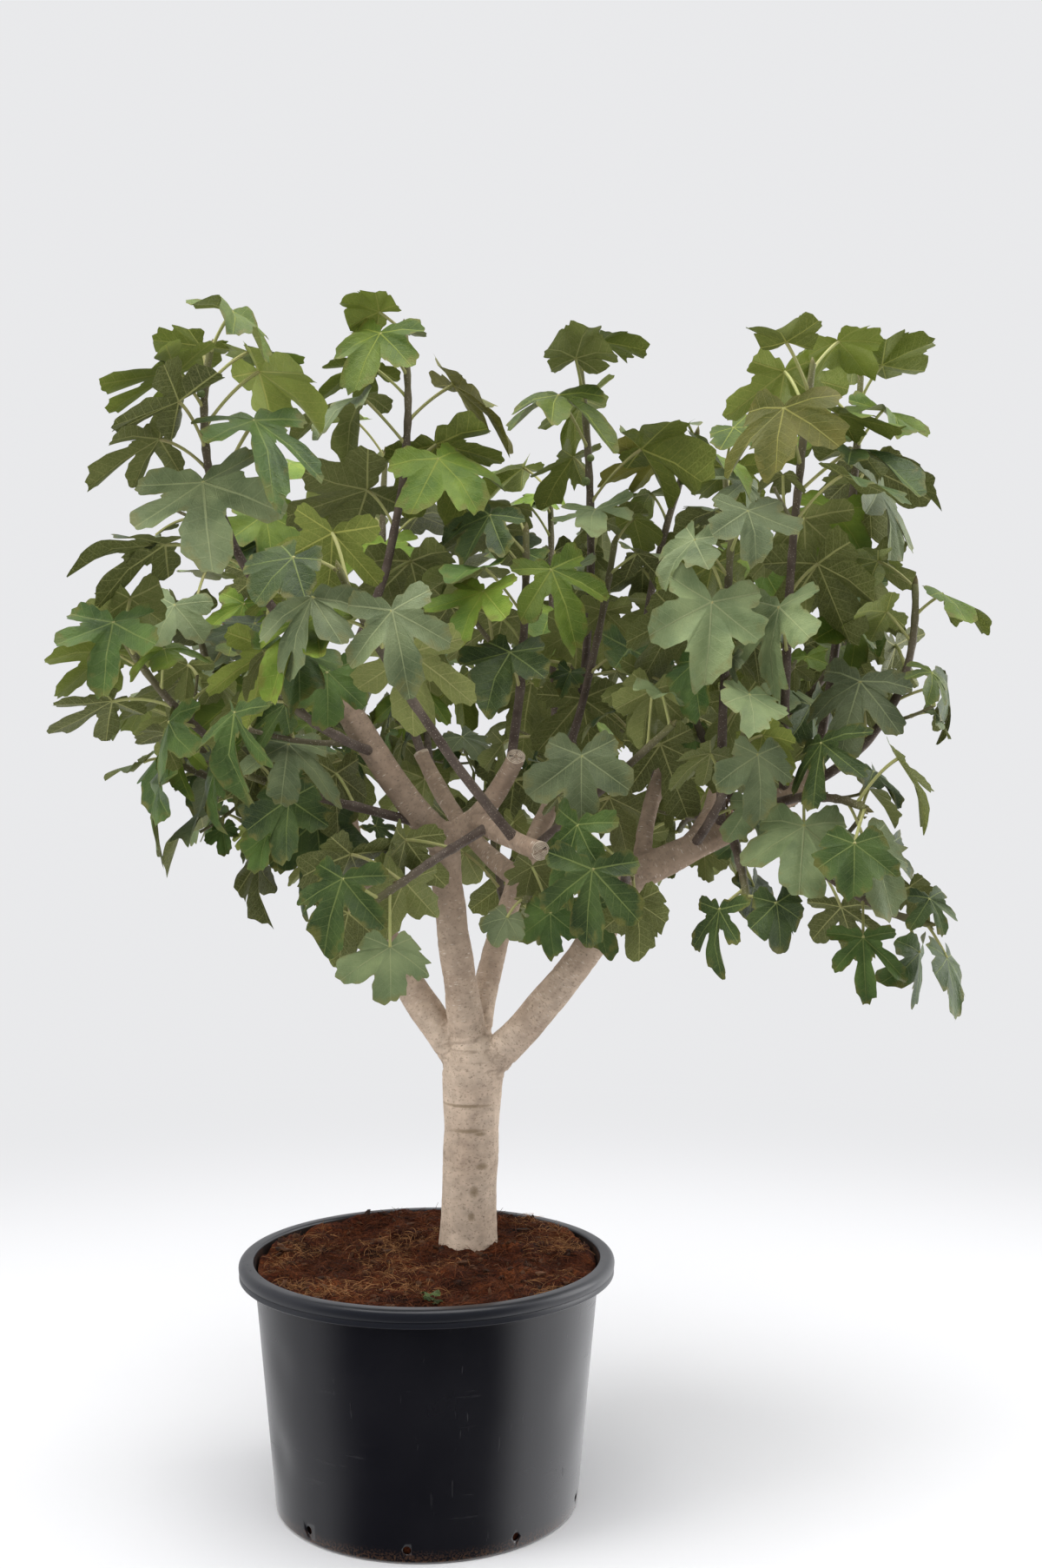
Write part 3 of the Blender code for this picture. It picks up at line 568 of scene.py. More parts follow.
# A small shape, kept as arrays so that one mesh can hold thousands of its copies
Shape = namedtuple("Shape", "points corners starts slots uvs grain")


def read(rows, field, width=1, kind=float):
    """One field of all the points, corners or faces of a mesh, as an array."""
    values = np.empty(len(rows) * width, kind)
    rows.foreach_get(field, values)
    return values


def mark_points(mesh, name, values):
    """Keep one number or three for each point of a mesh, for its material to read."""
    kind, field = ("FLOAT", "value") if len(values) == len(mesh.vertices) else ("FLOAT_VECTOR", "vector")
    mesh.attributes.new(name, kind, "POINT").data.foreach_set(field, values)


def array_shape(bm, recalculate=True):
    """A small shape's points, corners, face slots and UV maps as arrays, to be copied many times."""
    if recalculate:
        bmesh.ops.recalc_face_normals(bm, faces=bm.faces)
    mesh = bpy.data.meshes.new("shape")
    bm.to_mesh(mesh)
    bm.free()
    grain = np.zeros(len(mesh.vertices) * 3)
    if "grain" in mesh.attributes:
        grain = read(mesh.attributes["grain"].data, "vector", 3)
    shape = Shape(
        points=read(mesh.vertices, "co", 3).reshape(-1, 3),
        corners=read(mesh.loops, "vertex_index", kind=int),
        starts=read(mesh.polygons, "loop_start", kind=int),
        slots=read(mesh.polygons, "material_index", kind=int),
        uvs={layer.name: read(layer.data, "uv", 2) for layer in mesh.uv_layers},
        grain=grain)
    bpy.data.meshes.remove(mesh)
    return shape


def joined_piece(name, copies, materials, sharp=SHARP_ANGLE):
    """One mesh of many copies: each is a shape, its own points, and a tint from 0 to 1."""
    shapes = [copy[0] for copy in copies]
    points = np.concatenate([copy[1] for copy in copies])
    firsts = np.cumsum([0] + [len(copy[1]) for copy in copies])
    corners = np.concatenate([shape.corners + first for shape, first in zip(shapes, firsts)])
    loops = np.cumsum([0] + [len(shape.corners) for shape in shapes])
    starts = np.concatenate([shape.starts + first for shape, first in zip(shapes, loops)])
    mesh = bpy.data.meshes.new(name)
    mesh.vertices.add(len(points))
    mesh.vertices.foreach_set("co", points.ravel())
    mesh.loops.add(len(corners))
    mesh.loops.foreach_set("vertex_index", corners)
    mesh.polygons.add(len(starts))
    mesh.polygons.foreach_set("loop_start", starts)
    mesh.polygons.foreach_set("material_index", np.concatenate([shape.slots for shape in shapes]))
    for layer in shapes[0].uvs:
        uvs = np.concatenate([shape.uvs[layer] for shape in shapes])
        mesh.uv_layers.new(name=layer).data.foreach_set("uv", uvs)
    mark_points(mesh, "tint", np.concatenate([np.broadcast_to(copy[2], len(copy[1])) for copy in copies]))
    mark_points(mesh, "grain", np.concatenate([shape.grain for shape in shapes]))
    mesh.update(calc_edges=True)
    return finished(name, mesh, materials, sharp)


def tint_of(tree):
    return new_node(tree, "Attribute", attribute_name="tint").outputs["Fac"]


def fibre_shape(rng):
    """One crooked three-sided fibre, 1 long, thin at its ends."""
    bm = bmesh.new()
    bmesh.ops.create_cone(bm, cap_ends=True, segments=3, radius1=1.0, radius2=1.0, depth=1.0,
                          matrix=Matrix.Rotation(math.pi / 2, 4, "Y"))
    long_edges = [edge for edge in bm.edges if abs(edge.verts[0].co.x - edge.verts[1].co.x) > 0.5]
    bmesh.ops.subdivide_edges(bm, edges=long_edges, cuts=3)
    bow = rng.uniform(-0.35, 0.35)
    hook = rng.uniform(-0.25, 0.25)
    for vert in bm.verts:
        share = vert.co.x + 0.5
        taper = 0.35 + 0.65 * math.sin(math.pi * min(max(share, 0.08), 0.92))
        vert.co.y = vert.co.y * FIBRE_THICK * taper + bow * share * (1 - share) + hook * (share - 0.5) ** 3
        vert.co.z = vert.co.z * FIBRE_THICK * taper + 0.10 * math.sin(math.pi * share)
    return array_shape(bm)


def fibre_material(name, dark, pale):
    material, tree, shader = plain_material(name, pale, 0.8, 0.2)
    grain = speckle(tree, object_place(tree), 9.0, 150.0)["Grain"]
    shade = ramp(tree, grain, (0.3, 0.6), (0.7, 1.2))
    colour = mix(tree, 1.0, mix(tree, tint_of(tree), dark, pale), shade, "MULTIPLY")
    paint(tree, shader, colour, grain, 0.3, 0.0006)
    return material


def soil_spot(rng, reach):
    """A place on the soil, clear of the pot's wall and of the trunk."""
    while True:
        angle = rng.uniform(0, math.tau)
        away = reach * math.sqrt(rng.random())
        spot = Vector((math.cos(angle) * away, math.sin(angle) * away, 0))
        if (spot.xy - TRUNK_FOOT.xy).length > TRUNK_CLEAR:
            return spot


def scatter_fibres():
    rng = random.Random("coir")
    shapes = [fibre_shape(rng) for _ in range(STRAND_SHAPES)]
    piles = {name: [] for name in COIR_COLOURS}
    for _ in range(STRANDS):
        spot = soil_spot(rng, NECK_RADIUS - POT_WALL - 0.016)
        patch = noise.noise(Vector((spot.x * 9, spot.y * 9, 5.5))) + rng.uniform(-0.30, 0.30)
        length = rng.uniform(*STRAND_LENGTH)
        turn = Matrix.Rotation(rng.uniform(0, math.tau), 3, "Z")
        turn = turn @ Matrix.Rotation(rng.gauss(0, STRAND_TILT), 3, "Y")
        lift = soil_surface(spot) + rng.uniform(*STRAND_LIFT)
        shape = rng.choice(shapes)
        points = shape.points @ (np.array(turn).T * length) + np.array((spot.x, spot.y, lift))
        piles["tan" if patch > TAN_FROM else "rust"].append((shape, points, rng.random()))
    for name, copies in piles.items():
        material = fibre_material(name + " coir", *COIR_COLOURS[name])
        fibres = joined_piece("coir_strands_" + name, copies, [material], 60)
        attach(fibres, "root")


def scatter_crumbs():
    """Crumbs of bark and peat, each a squashed ball of a few faces."""
    rng = random.Random("crumbs")
    bm = bmesh.new()
    bmesh.ops.create_icosphere(bm, subdivisions=1, radius=1.0)
    for vert in bm.verts:
        vert.co *= rng.uniform(0.7, 1.2)
    shape = array_shape(bm)
    copies = []
    for _ in range(CRUMBS):
        spot = soil_spot(rng, NECK_RADIUS - POT_WALL - 0.010)
        size = CRUMB_SIZE[0] + CRUMB_SIZE[1] * rng.random() ** 4
        angle = rng.uniform(0, math.tau)
        turn = Matrix.Rotation(angle, 3, Vector([rng.gauss(0, 1) for _ in range(3)]))
        stretch = np.diag((size * rng.uniform(1, 2.2), size, size * 0.6))
        centre = np.array((spot.x, spot.y, soil_surface(spot)))
        copies.append((shape, shape.points @ stretch @ np.array(turn).T + centre, rng.random()))
    crumbs = joined_piece("bark_crumbs", copies, [fibre_material("bark crumb", *CRUMB_COLOURS)], 30)
    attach(crumbs, "root")


scatter_fibres()
scatter_crumbs()


# Trunk and boughs: one living limb of smooth pale bark, pruned back hard, so that its boughs end in
# saw cuts or knuckles.  Fine level wrinkles, raised pores and ring scars show all over the bark.
FORK = Vector((0.094, 0.080, 0.925))
TRUNK_GIRTH = ((0.00, 0.0665), (0.03, 0.0615), (0.10, 0.0590), (0.30, 0.0570), (0.55, 0.0575),
               (0.72, 0.0610), (0.84, 0.0660), (0.93, 0.0620), (1.00, 0.0440))
KNUCKLE = 0.45
BARK_GRAIN = 0.0042
BARK_LUMP = 0.0028
BARK_WRINKLE = 0.0005
BARK_RING = 0.0009
TRUNK_ROOTED = 0.026
CREASE_REACH = 0.14
CREASE_DEPTH = 0.0012
# Old scars on the trunk: across, height, half width and half height
SCARS = ((0.083, 0.7355, 0.042, 0.0050), (0.106, 0.7290, 0.014, 0.0050), (0.110, 0.6620, 0.014, 0.0075),
         (0.094, 0.6110, 0.010, 0.0140), (0.074, 0.7870, 0.060, 0.0040), (0.088, 0.5600, 0.008, 0.0100))
BARK_COLOURS = ((0.30, (0.480, 0.368, 0.280)), (0.50, (0.575, 0.455, 0.352)), (0.70, (0.635, 0.515, 0.408)))
# A browner, darker tone for the boughs, partly their own and partly painted shade under the crown
BARK_BROWNING_AND_SHADE = (0.60, 0.555, 0.52)
BARK_FLECK = (0.64, 0.56, 0.47)
BARK_SPECK = (0.19, 0.145, 0.105)
BARK_SCAR = (0.25, 0.185, 0.115)
# Painted shade in the creases where limbs meet
PAINTED_CREASE_SHADE = (0.24, 0.18, 0.13)
# Heights between which the bark turns browner and darker, partly its own tone and partly painted shade under
# the crown, and between which its pale flecks begin
BROWNING_AND_SHADE_BETWEEN = (0.90, 1.25)
FLECKS_BETWEEN = (0.82, 1.02)
LIMB_STEPS = 22
LIMB_SIDES = 20
CUT_LEAN = {"centre_stub": Vector((-0.25, -0.75, 0.10)), "front_stub": Vector((-0.10, -0.55, 0.05)),
            "right_outer_bough": Vector((0.0, -0.30, 0.0))}

Limb = namedtuple("Limb", "name parent share tip bow foot_radius tip_radius cut")


def metres(millimetres):
    return tuple(value / 1000 for value in millimetres)


# Each limb's tip and bow in millimetres, the rest in metres
LIMBS = [Limb(name, parent, share, metres(tip), metres(bow), *rest)
         for name, parent, share, tip, bow, *rest in (
    ("left_bough", "trunk", 0.82, (-126, 140, 1178), (-10, 0, -12), 0.036, 0.031, False),
    ("left_upper_bough", "left_bough", 0.96, (-196, 205, 1420), (-4, 0, 0), 0.027, 0.021, True),
    ("left_rear_bough", "left_bough", 0.94, (-300, 370, 1400), (-14, 12, -24), 0.024, 0.018, True),
    ("centre_bough", "trunk", 0.86, (30, 18, 1352), (-6, -12, 0), 0.037, 0.031, False),
    ("centre_left_bough", "centre_bough", 0.95, (-206, -32, 1690), (-10, -8, -14), 0.03, 0.026, True),
    ("centre_stub", "centre_bough", 0.97, (180, -60, 1503), (12, 8, -20), 0.025, 0.018, True),
    ("front_stub", "centre_stub", 0.36, (228, -140, 1317), (4, 0, -6), 0.021, 0.0185, True),
    ("rear_bough", "trunk", 0.88, (300, 360, 1480), (-38, 0, -10), 0.029, 0.02, True),
    ("rear_left_bough", "rear_bough", 0.62, (-40, 440, 1520), (-10, 20, -30), 0.021, 0.017, True),
    ("right_bough", "trunk", 0.8, (428, -20, 1278), (12, -4, -22), 0.037, 0.031, False),
    ("right_outer_bough", "right_bough", 0.97, (800, 20, 1462), (4, -12, -4), 0.031, 0.023, True),
    ("right_stub", "right_outer_bough", 0.04, (486, 52, 1480), (-12, 0, 0), 0.018, 0.017, True),
    ("right_rear_bough", "right_outer_bough", 0.2, (640, 300, 1520), (20, 10, -30), 0.022, 0.017, True),
)]


def path_point(start, tip, bow, share):
    return start.lerp(tip, share) + bow * (4 * share * (1 - share))


def path_heading(start, tip, bow, share):
    return ((tip - start) + bow * (4 - 8 * share)).normalized()


def path_way(start, tip, bow, steps):
    """Points and headings at even steps along a path."""
    shares = [step / steps for step in range(steps + 1)]
    return ([path_point(start, tip, bow, share) for share in shares],
            [path_heading(start, tip, bow, share) for share in shares])


def tube(points, radii, headings, sides):
    """A closed tapering tube: a cylinder cut into rings, each then laid on its point of the way."""
    steps = len(points) - 1
    bm = bmesh.new()
    bmesh.ops.create_cone(bm, cap_ends=True, segments=sides, radius1=1.0, radius2=1.0, depth=steps,
                          matrix=Matrix.Translation((0, 0, steps / 2)))
    long_edges = [edge for edge in bm.edges if abs(edge.verts[0].co.z - edge.verts[1].co.z) > 0.5]
    if steps > 1:
        bmesh.ops.subdivide_edges(bm, edges=long_edges, cuts=steps - 1)
    turns = [headings[0].to_track_quat("Z", "Y")]
    runs = [0.0]
    for index in range(1, len(points)):
        turns.append(headings[index - 1].rotation_difference(headings[index]) @ turns[-1])
        runs.append(runs[-1] + (points[index] - points[index - 1]).length)
    grain = bm.verts.layers.float_vector.new("grain")
    for vert in bm.verts:
        index = round(vert.co.z)
        spoke = Vector((vert.co.x, vert.co.y, 0)) * radii[index]
        vert[grain] = (spoke.x, spoke.y, runs[index])
        vert.co = points[index] + turns[index] @ spoke
    return bm


class Tree:
    """Where each limb and shoot runs."""

    def __init__(self):
        self.starts = {"trunk": TRUNK_FOOT}
        self.rows = {}
        for limb in LIMBS:
            self.rows[limb.name] = limb
            self.starts[limb.name] = self.place_on(limb.parent, limb.share)

    def place_on(self, name, share):
        if name == "trunk":
            return TRUNK_FOOT.lerp(FORK, share)
        limb = self.rows[name]
        return path_point(self.starts[name], Vector(limb.tip), Vector(limb.bow), share)

    def stem(self, shoot):
        return self.place_on(shoot.parent, shoot.share), Vector(shoot.tip), Vector(shoot.bow)

    def twigs(self, shoot):
        rng = random.Random(shoot.name + " twigs")
        return [twig_row(*self.stem(shoot), rng) for _ in range(shoot.twigs)]


fig = Tree()


def limb_way(name):
    """Points, headings and radii along a limb, with a collar at its foot and a lip at its cut."""
    shares = [step / LIMB_STEPS for step in range(LIMB_STEPS + 1)]
    if name == "trunk":
        radii = [float(np.interp(share, *zip(*TRUNK_GIRTH))) for share in shares]
        return [TRUNK_FOOT.lerp(FORK, share) for share in shares], [Vector((0, 0, 1)) for _ in shares], radii
    limb = fig.rows[name]
    start = fig.starts[name]
    tip = Vector(limb.tip)
    length = (tip - start).length
    points, headings = path_way(start, tip, Vector(limb.bow), LIMB_STEPS)
    radii = []
    for share in shares:
        radius = limb.foot_radius + (limb.tip_radius - limb.foot_radius) * share
        collar = 0.16 * math.exp(-share * length / 0.05)
        lip = 0.07 * math.exp(-(1 - share) * length / 0.008) if limb.cut else 0.0
        lump = 0.035 * noise.noise(Vector((share * length * 16, len(name) * 3.7, 0.5)))
        radii.append(radius * (1 + collar + lip + lump))
    headings[-1] = (headings[-1] + CUT_LEAN.get(name, Vector())).normalized()
    if not limb.cut:
        points.append(points[-1] + headings[-1] * limb.tip_radius * KNUCKLE)
        headings.append(headings[-1])
        radii.append(limb.tip_radius * 0.72)
    return points, headings, radii


def limb_grain(places):
    """For each place: the nearest limb's spoke out and way along, its number, and how near a crease is."""
    near = np.full((1 + len(LIMBS), len(places)), 1e9)
    spokes = np.zeros((1 + len(LIMBS), len(places), 3))
    for number, name in enumerate(["trunk"] + [limb.name for limb in LIMBS]):
        points, headings, radii = limb_way(name)
        run = 0.0
        for index, (centre, heading, radius) in enumerate(zip(points, headings, radii)):
            if index:
                run += (centre - points[index - 1]).length
            away = places - np.array(centre)
            ahead = away @ np.array(heading)
            out = away - ahead[:, None] * np.array(heading)
            score = np.linalg.norm(out, axis=1) / radius + np.abs(ahead) / 0.02
            nearer = score < near[number]
            near[number, nearer] = score[nearer]
            side = heading.to_track_quat("Z", "Y")
            spokes[number, nearer, 0] = (out @ np.array(side @ Vector((1, 0, 0))))[nearer]
            spokes[number, nearer, 1] = (out @ np.array(side @ Vector((0, 1, 0))))[nearer]
            spokes[number, nearer, 2] = (run + ahead)[nearer]
    owner = near.argmin(axis=0)
    first, second = np.sort(near, axis=0)[:2]
    crease = np.exp(-((second - first) / CREASE_REACH) ** 2)
    return spokes[owner, np.arange(len(places))], owner, crease


def bark_height(grain, owner):
    """Relief of the bark: soft lumps, shallow level wrinkles and the ring scars of old shoots."""
    radius = max(math.hypot(grain[0], grain[1]), 0.004)
    turn = Vector((grain[0], grain[1], 0)) / radius
    along = grain[2]
    seed = owner * 7.3
    lump = noise.noise(Vector((turn.x * 1.6 + seed, turn.y * 1.6, along * 13)))
    level = noise.noise(Vector((turn.x * 1.3, turn.y * 1.3 + seed, along * 55)))
    ring = noise.noise(Vector((seed, turn.x * 0.30, along * 14)))
    scar = max(abs(ring) * -12 + 1, 0)
    return BARK_LUMP * lump + BARK_WRINKLE * level - BARK_RING * scar


def grain_place(tree, scale=(1, 1, 1)):
    """The place in a limb's own grain, round it and along it, stretched by a scale."""
    grain = new_node(tree, "Attribute", attribute_name="grain").outputs["Vector"]
    return new_node(tree, "Mapping", {"Vector": grain, "Scale": scale}).outputs["Vector"]


def flecks(tree, scale, flatness, reach, kept):
    """A mask of small flecks, wider than high, in a share of the cells."""
    place = grain_place(tree, (1.0, 1.0, flatness))
    cells = new_node(tree, "TexVoronoi", {"Vector": place, "Scale": scale}).outputs
    chance = new_node(tree, "SeparateColor", {"Color": cells["Color"]}).outputs["Red"]
    shown = math_node(tree, "LESS_THAN", chance, kept)
    return times(tree, spread(tree, cells["Distance"], reach * 0.6, reach, 1.0, 0.0), shown)


def scar_mask(tree, split, ragged):
    """A mask of the old scars on the trunk."""
    mask = None
    for across, height, wide, high in SCARS:
        sideways = math_node(tree, "DIVIDE", minus(tree, split["X"], across), wide)
        upward = math_node(tree, "DIVIDE", minus(tree, split["Z"], height), high)
        away = plus(tree, times(tree, sideways, sideways), times(tree, upward, upward))
        spot = spread(tree, plus(tree, away, times(tree, ragged, 1.6)), 0.9, 1.9, 1.0, 0.0)
        mask = spot if mask is None else math_node(tree, "MAXIMUM", mask, spot)
    return times(tree, mask, 0.80)


def bark_material():
    """Smooth pale beige bark with small dark specks, and browner boughs with pale level flecks; painted shade
    darkens it higher up, under the crown, and in the creases where limbs meet.
    """
    material, tree, shader = plain_material("fig bark", (0.42, 0.34, 0.27), 0.80, 0.2)
    soft = speckle(tree, grain_place(tree), 8.0, 62.0)
    wrinkles = speckle(tree, grain_place(tree, (1.0, 1.0, 2.2)), 22.0, 150.0)
    split = axes_of(tree, object_place(tree))
    pitted = noise_on(tree, grain_place(tree, (1.0, 1.0, 1.5)), 165.0, 3.0)
    shade = ramp(tree, soft["Grain"], (0.34, 0.88), (0.66, 1.07))
    colour = mix(tree, 1.0, ramp(tree, soft["Mottle"], *BARK_COLOURS), shade, "MULTIPLY")
    streaked = mix(tree, 1.0, colour, ramp(tree, wrinkles["Mottle"], (0.38, 0.86), (0.60, 1.05)), "MULTIPLY")
    colour = mix(tree, 0.7, colour, streaked)
    # Higher up the bark turns browner and darker: partly the boughs' own tone, partly painted shade under the
    # crown.
    browning_and_shade = spread(tree, split["Z"], *BROWNING_AND_SHADE_BETWEEN, 0.0, 0.95)
    colour = mix(tree, browning_and_shade, colour, mix(tree, 1.0, colour, BARK_BROWNING_AND_SHADE, "MULTIPLY"))
    grown = spread(tree, split["Z"], *FLECKS_BETWEEN, 0.10, 0.90)
    pale = times(tree, flecks(tree, 62.0, 4.6, 0.36, 0.42), grown)
    pale = times(tree, pale, spread(tree, soft["Grain"], 0.42, 0.58, 0.1, 0.9))
    colour = mix(tree, pale, colour, BARK_FLECK)
    pits = spread(tree, pitted, 0.57, 0.66, 0.0, 0.50)
    dark = plus(tree, pits, times(tree, flecks(tree, 85.0, 1.5, 0.26, 0.30), 0.40))
    colour = mix(tree, dark, colour, BARK_SPECK)
    scar = scar_mask(tree, split, pitted)
    colour = mix(tree, scar, colour, BARK_SCAR)
    # Painted shade in the creases where limbs meet, by the crease's closeness kept in 'tint'.
    colour = mix(tree, spread(tree, tint_of(tree), 0.35, 1.0, 0.0, 0.5), colour, PAINTED_CREASE_SHADE)
    relief = plus(tree, wrinkles["Grain"], times(tree, pale, 0.9))
    paint(tree, shader, colour, minus(tree, relief, plus(tree, scar, dark)), 0.34, 0.0012)
    return material


def build_bark():
    bm = bmesh.new()
    for name in ["trunk"] + [limb.name for limb in LIMBS]:
        points, headings, radii = limb_way(name)
        if name == "trunk":
            points[0] = points[0] - Vector((0, 0, TRUNK_ROOTED))
        part = tube(points, radii, headings, LIMB_SIDES)
        mesh = bpy.data.meshes.new("limb")
        part.to_mesh(mesh)
        part.free()
        bm.from_mesh(mesh)
        bpy.data.meshes.remove(mesh)
    bark = new_piece("bark", bm, bark_material())
    fuse = bark.modifiers.new("fuse", "REMESH")
    fuse.mode = "VOXEL"
    fuse.voxel_size = BARK_GRAIN
    soften = bark.modifiers.new("soften", "SMOOTH")
    soften.factor = 0.5
    soften.iterations = 4
    apply_modifiers(bark)
    mesh = bark.data
    places = read(mesh.vertices, "co", 3).reshape(-1, 3)
    normals = read(mesh.vertices, "normal", 3).reshape(-1, 3)
    grain, owner, crease = limb_grain(places)
    relief = np.array([bark_height(spoke, number) for spoke, number in zip(grain.tolist(), owner.tolist())])
    places = places + normals * (relief - CREASE_DEPTH * crease)[:, None]
    places[:, 2] = np.maximum(places[:, 2], TRUNK_FOOT.z - TRUNK_ROOTED)
    mesh.vertices.foreach_set("co", places.ravel())
    mark_points(mesh, "grain", grain.ravel())
    # The crease's closeness goes into 'tint', where the bark material paints shade into its creases.
    mark_points(mesh, "tint", crease)
    mesh.shade_smooth()
    mesh.update()
    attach(bark, "root")
    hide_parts("trunk", *[limb.name for limb in LIMBS])


build_bark()


# Saw cuts: where boughs were pruned, the end grain shows as a pale disc with rings, cracks that
# open from the dark pith, and a rim of bark that has begun to roll over it.
CUT_RINGS = 6
CUT_CRACKS = 5
END_GRAIN = ((0.2, (0.34, 0.26, 0.19)), (0.8, (0.62, 0.53, 0.42)))
END_GRAIN_STAIN = (0.20, 0.15, 0.11)
# The pith's own dark colours, which in the cracks stand as painted shade
PITH_AND_CRACK_SHADE = ((0.3, (0.020, 0.013, 0.010)), (0.7, (0.060, 0.040, 0.028)))


def cut_material():
    material, tree, shader = plain_material("end grain", (0.50, 0.40, 0.30), 0.85, 0.2)
    place = grain_place(tree)
    rings = new_node(tree, "TexWave", {"Vector": place, "Scale": 95.0, "Distortion": 1.2},
                     wave_type="RINGS", rings_direction="Z").outputs["Fac"]
    noisy = speckle(tree, place, 60.0, 420.0)
    stain = spread(tree, noisy["Mottle"], 0.45, 0.66, 0.0, 0.6)
    colour = mix(tree, stain, ramp(tree, rings, *END_GRAIN), END_GRAIN_STAIN)
    paint(tree, shader, colour, noisy["Grain"], 0.5, 0.0008)
    return material


def pith_material():
    material, tree, shader = plain_material("pith and cracks", (0.035, 0.024, 0.018), 0.9)
    grain = speckle(tree, grain_place(tree), 90.0, 400.0)["Grain"]
    paint(tree, shader, ramp(tree, grain, *PITH_AND_CRACK_SHADE), grain, 0.4, 0.0006)
    return material


def cut_disc(limb, rng):
    """A disc of end grain: rings inset towards the pith, which sinks, and a few radial cracks."""
    tip = Vector(limb.tip)
    heading = limb_way(limb.name)[1][-1]
    bm = bmesh.new()
    radius = limb.tip_radius * 1.03
    bmesh.ops.create_cone(bm, cap_ends=True, segments=40, radius1=radius, radius2=radius, depth=0.008,
                          matrix=Matrix.Translation((0, 0, -0.0035)))
    cap = max(bm.faces, key=lambda face: face.calc_center_median().z)
    for ring in range(CUT_RINGS):
        bmesh.ops.inset_region(bm, faces=[cap], thickness=radius * (0.10 if ring == 0 else 0.162))
    bmesh.ops.poke(bm, faces=[cap])
    cracks = [rng.uniform(0, math.tau) for _ in range(CUT_CRACKS)]
    grain = bm.verts.layers.float_vector.new("grain")
    for vert in bm.verts:
        away = vert.co.xy.length
        angle = math.atan2(vert.co.y, vert.co.x)
        if vert.co.z > 0:
            dip = 0.0022 * math.exp(-(away / (radius * 0.16)) ** 2)
            for crack in cracks:
                if abs(between(angle, crack)) < 0.09 and radius * 0.1 < away < radius * 0.8:
                    dip += 0.0016
            vert.co.z -= dip + 0.0005 * noise.noise(vert.co * 300)
            if away > radius * 0.95:
                vert.co.z -= 0.0012
        vert[grain] = vert.co
    for face in bm.faces:
        centre = face.calc_center_median()
        angle = math.atan2(centre.y, centre.x)
        away = centre.xy.length
        torn = any(abs(between(angle, crack)) < 0.08 for crack in cracks)
        # Pith and cracks take the dark material; in the cracks it is painted shade.
        if centre.z > -0.003 and (away < radius * 0.12 or (torn and away < radius * 0.72)):
            face.material_index = 1
    turn = heading.to_track_quat("Z", "Y").to_matrix().to_4x4()
    bmesh.ops.transform(bm, matrix=Matrix.Translation(tip + heading * 0.0008) @ turn, verts=bm.verts)
    return array_shape(bm)


def build_cuts():
    rng = random.Random("saw cuts")
    copies = []
    for limb in LIMBS:
        if limb.cut:
            shape = cut_disc(limb, rng)
            copies.append((shape, shape.points, rng.random()))
    cuts = joined_piece("saw_cuts", copies, [cut_material(), pith_material()], 40)
    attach(cuts, "root")


build_cuts()


# Shoots: this and last year's growth, a straight cane of brown bark that turns green near its tip,
# with a swelling at every leaf, a pointed bud at its end and finer side twigs.
STEM_FOOT = 0.0105
STEM_TIP = 0.0065
STEM_STEPS = 34
STEM_SIDES = 10
BARE_SHARE = 0.34
TWIG_SHARE = (0.24, 0.46)
TWIG_LENGTH = (0.13, 0.20)
TWIG_LEAVES = 2
TWIG_BARE = 0.55
TWIG_LEAF = 0.9
TWIG_FOOT = 0.0060
TWIG_TIP = 0.0045
GOLDEN_TURN = math.radians(137.5)
# How far a cane wanders from its way, as a share of its radius, and where each axis reads the noise
WANDER = 0.30
WANDER_SHIFTS = ((0, 0, 0), (3.7, 11.3, 5.1), (8.3, 1.9, 14.6))
LAST_LEAF = 0.985
CROWDING = 0.7
FINE_TRIES = (3, 5)
FRONT = 0.10
FINE_SHARE = (0.10, 0.66)
FINE_LENGTH = (0.04, 0.15)
FINE_LEAF = (0.38, 0.72)
FINE_LEAVES = 2
FINE_BARE = 0.55
FINE_FOOT = 0.0042
# Steps and sides of the finer canes
TWIG_FACES = (14, 8)
FINE_FACES = (10, 6)
FINE_TIP = 0.0030
YOUNG_BARK = ((0.070, 0.048, 0.038), (0.150, 0.115, 0.092), (0.17, 0.18, 0.06))
PORE_COLOUR = (0.42, 0.36, 0.28)
# Windows in the crown that finer growth leaves open in front of the boughs: left, right, low and
# high on the plane Y = 0 as seen from the camera's place, and the depth that it stays behind
WINDOWS = ((-0.22, 0.35, 0.83, 1.66, 0.16), (0.34, 0.84, 1.24, 1.52, 0.06), (-0.24, 0.24, 1.64, 1.95, -0.20))

Shoot = namedtuple("Shoot", "name parent share tip bow leaves twigs size word")

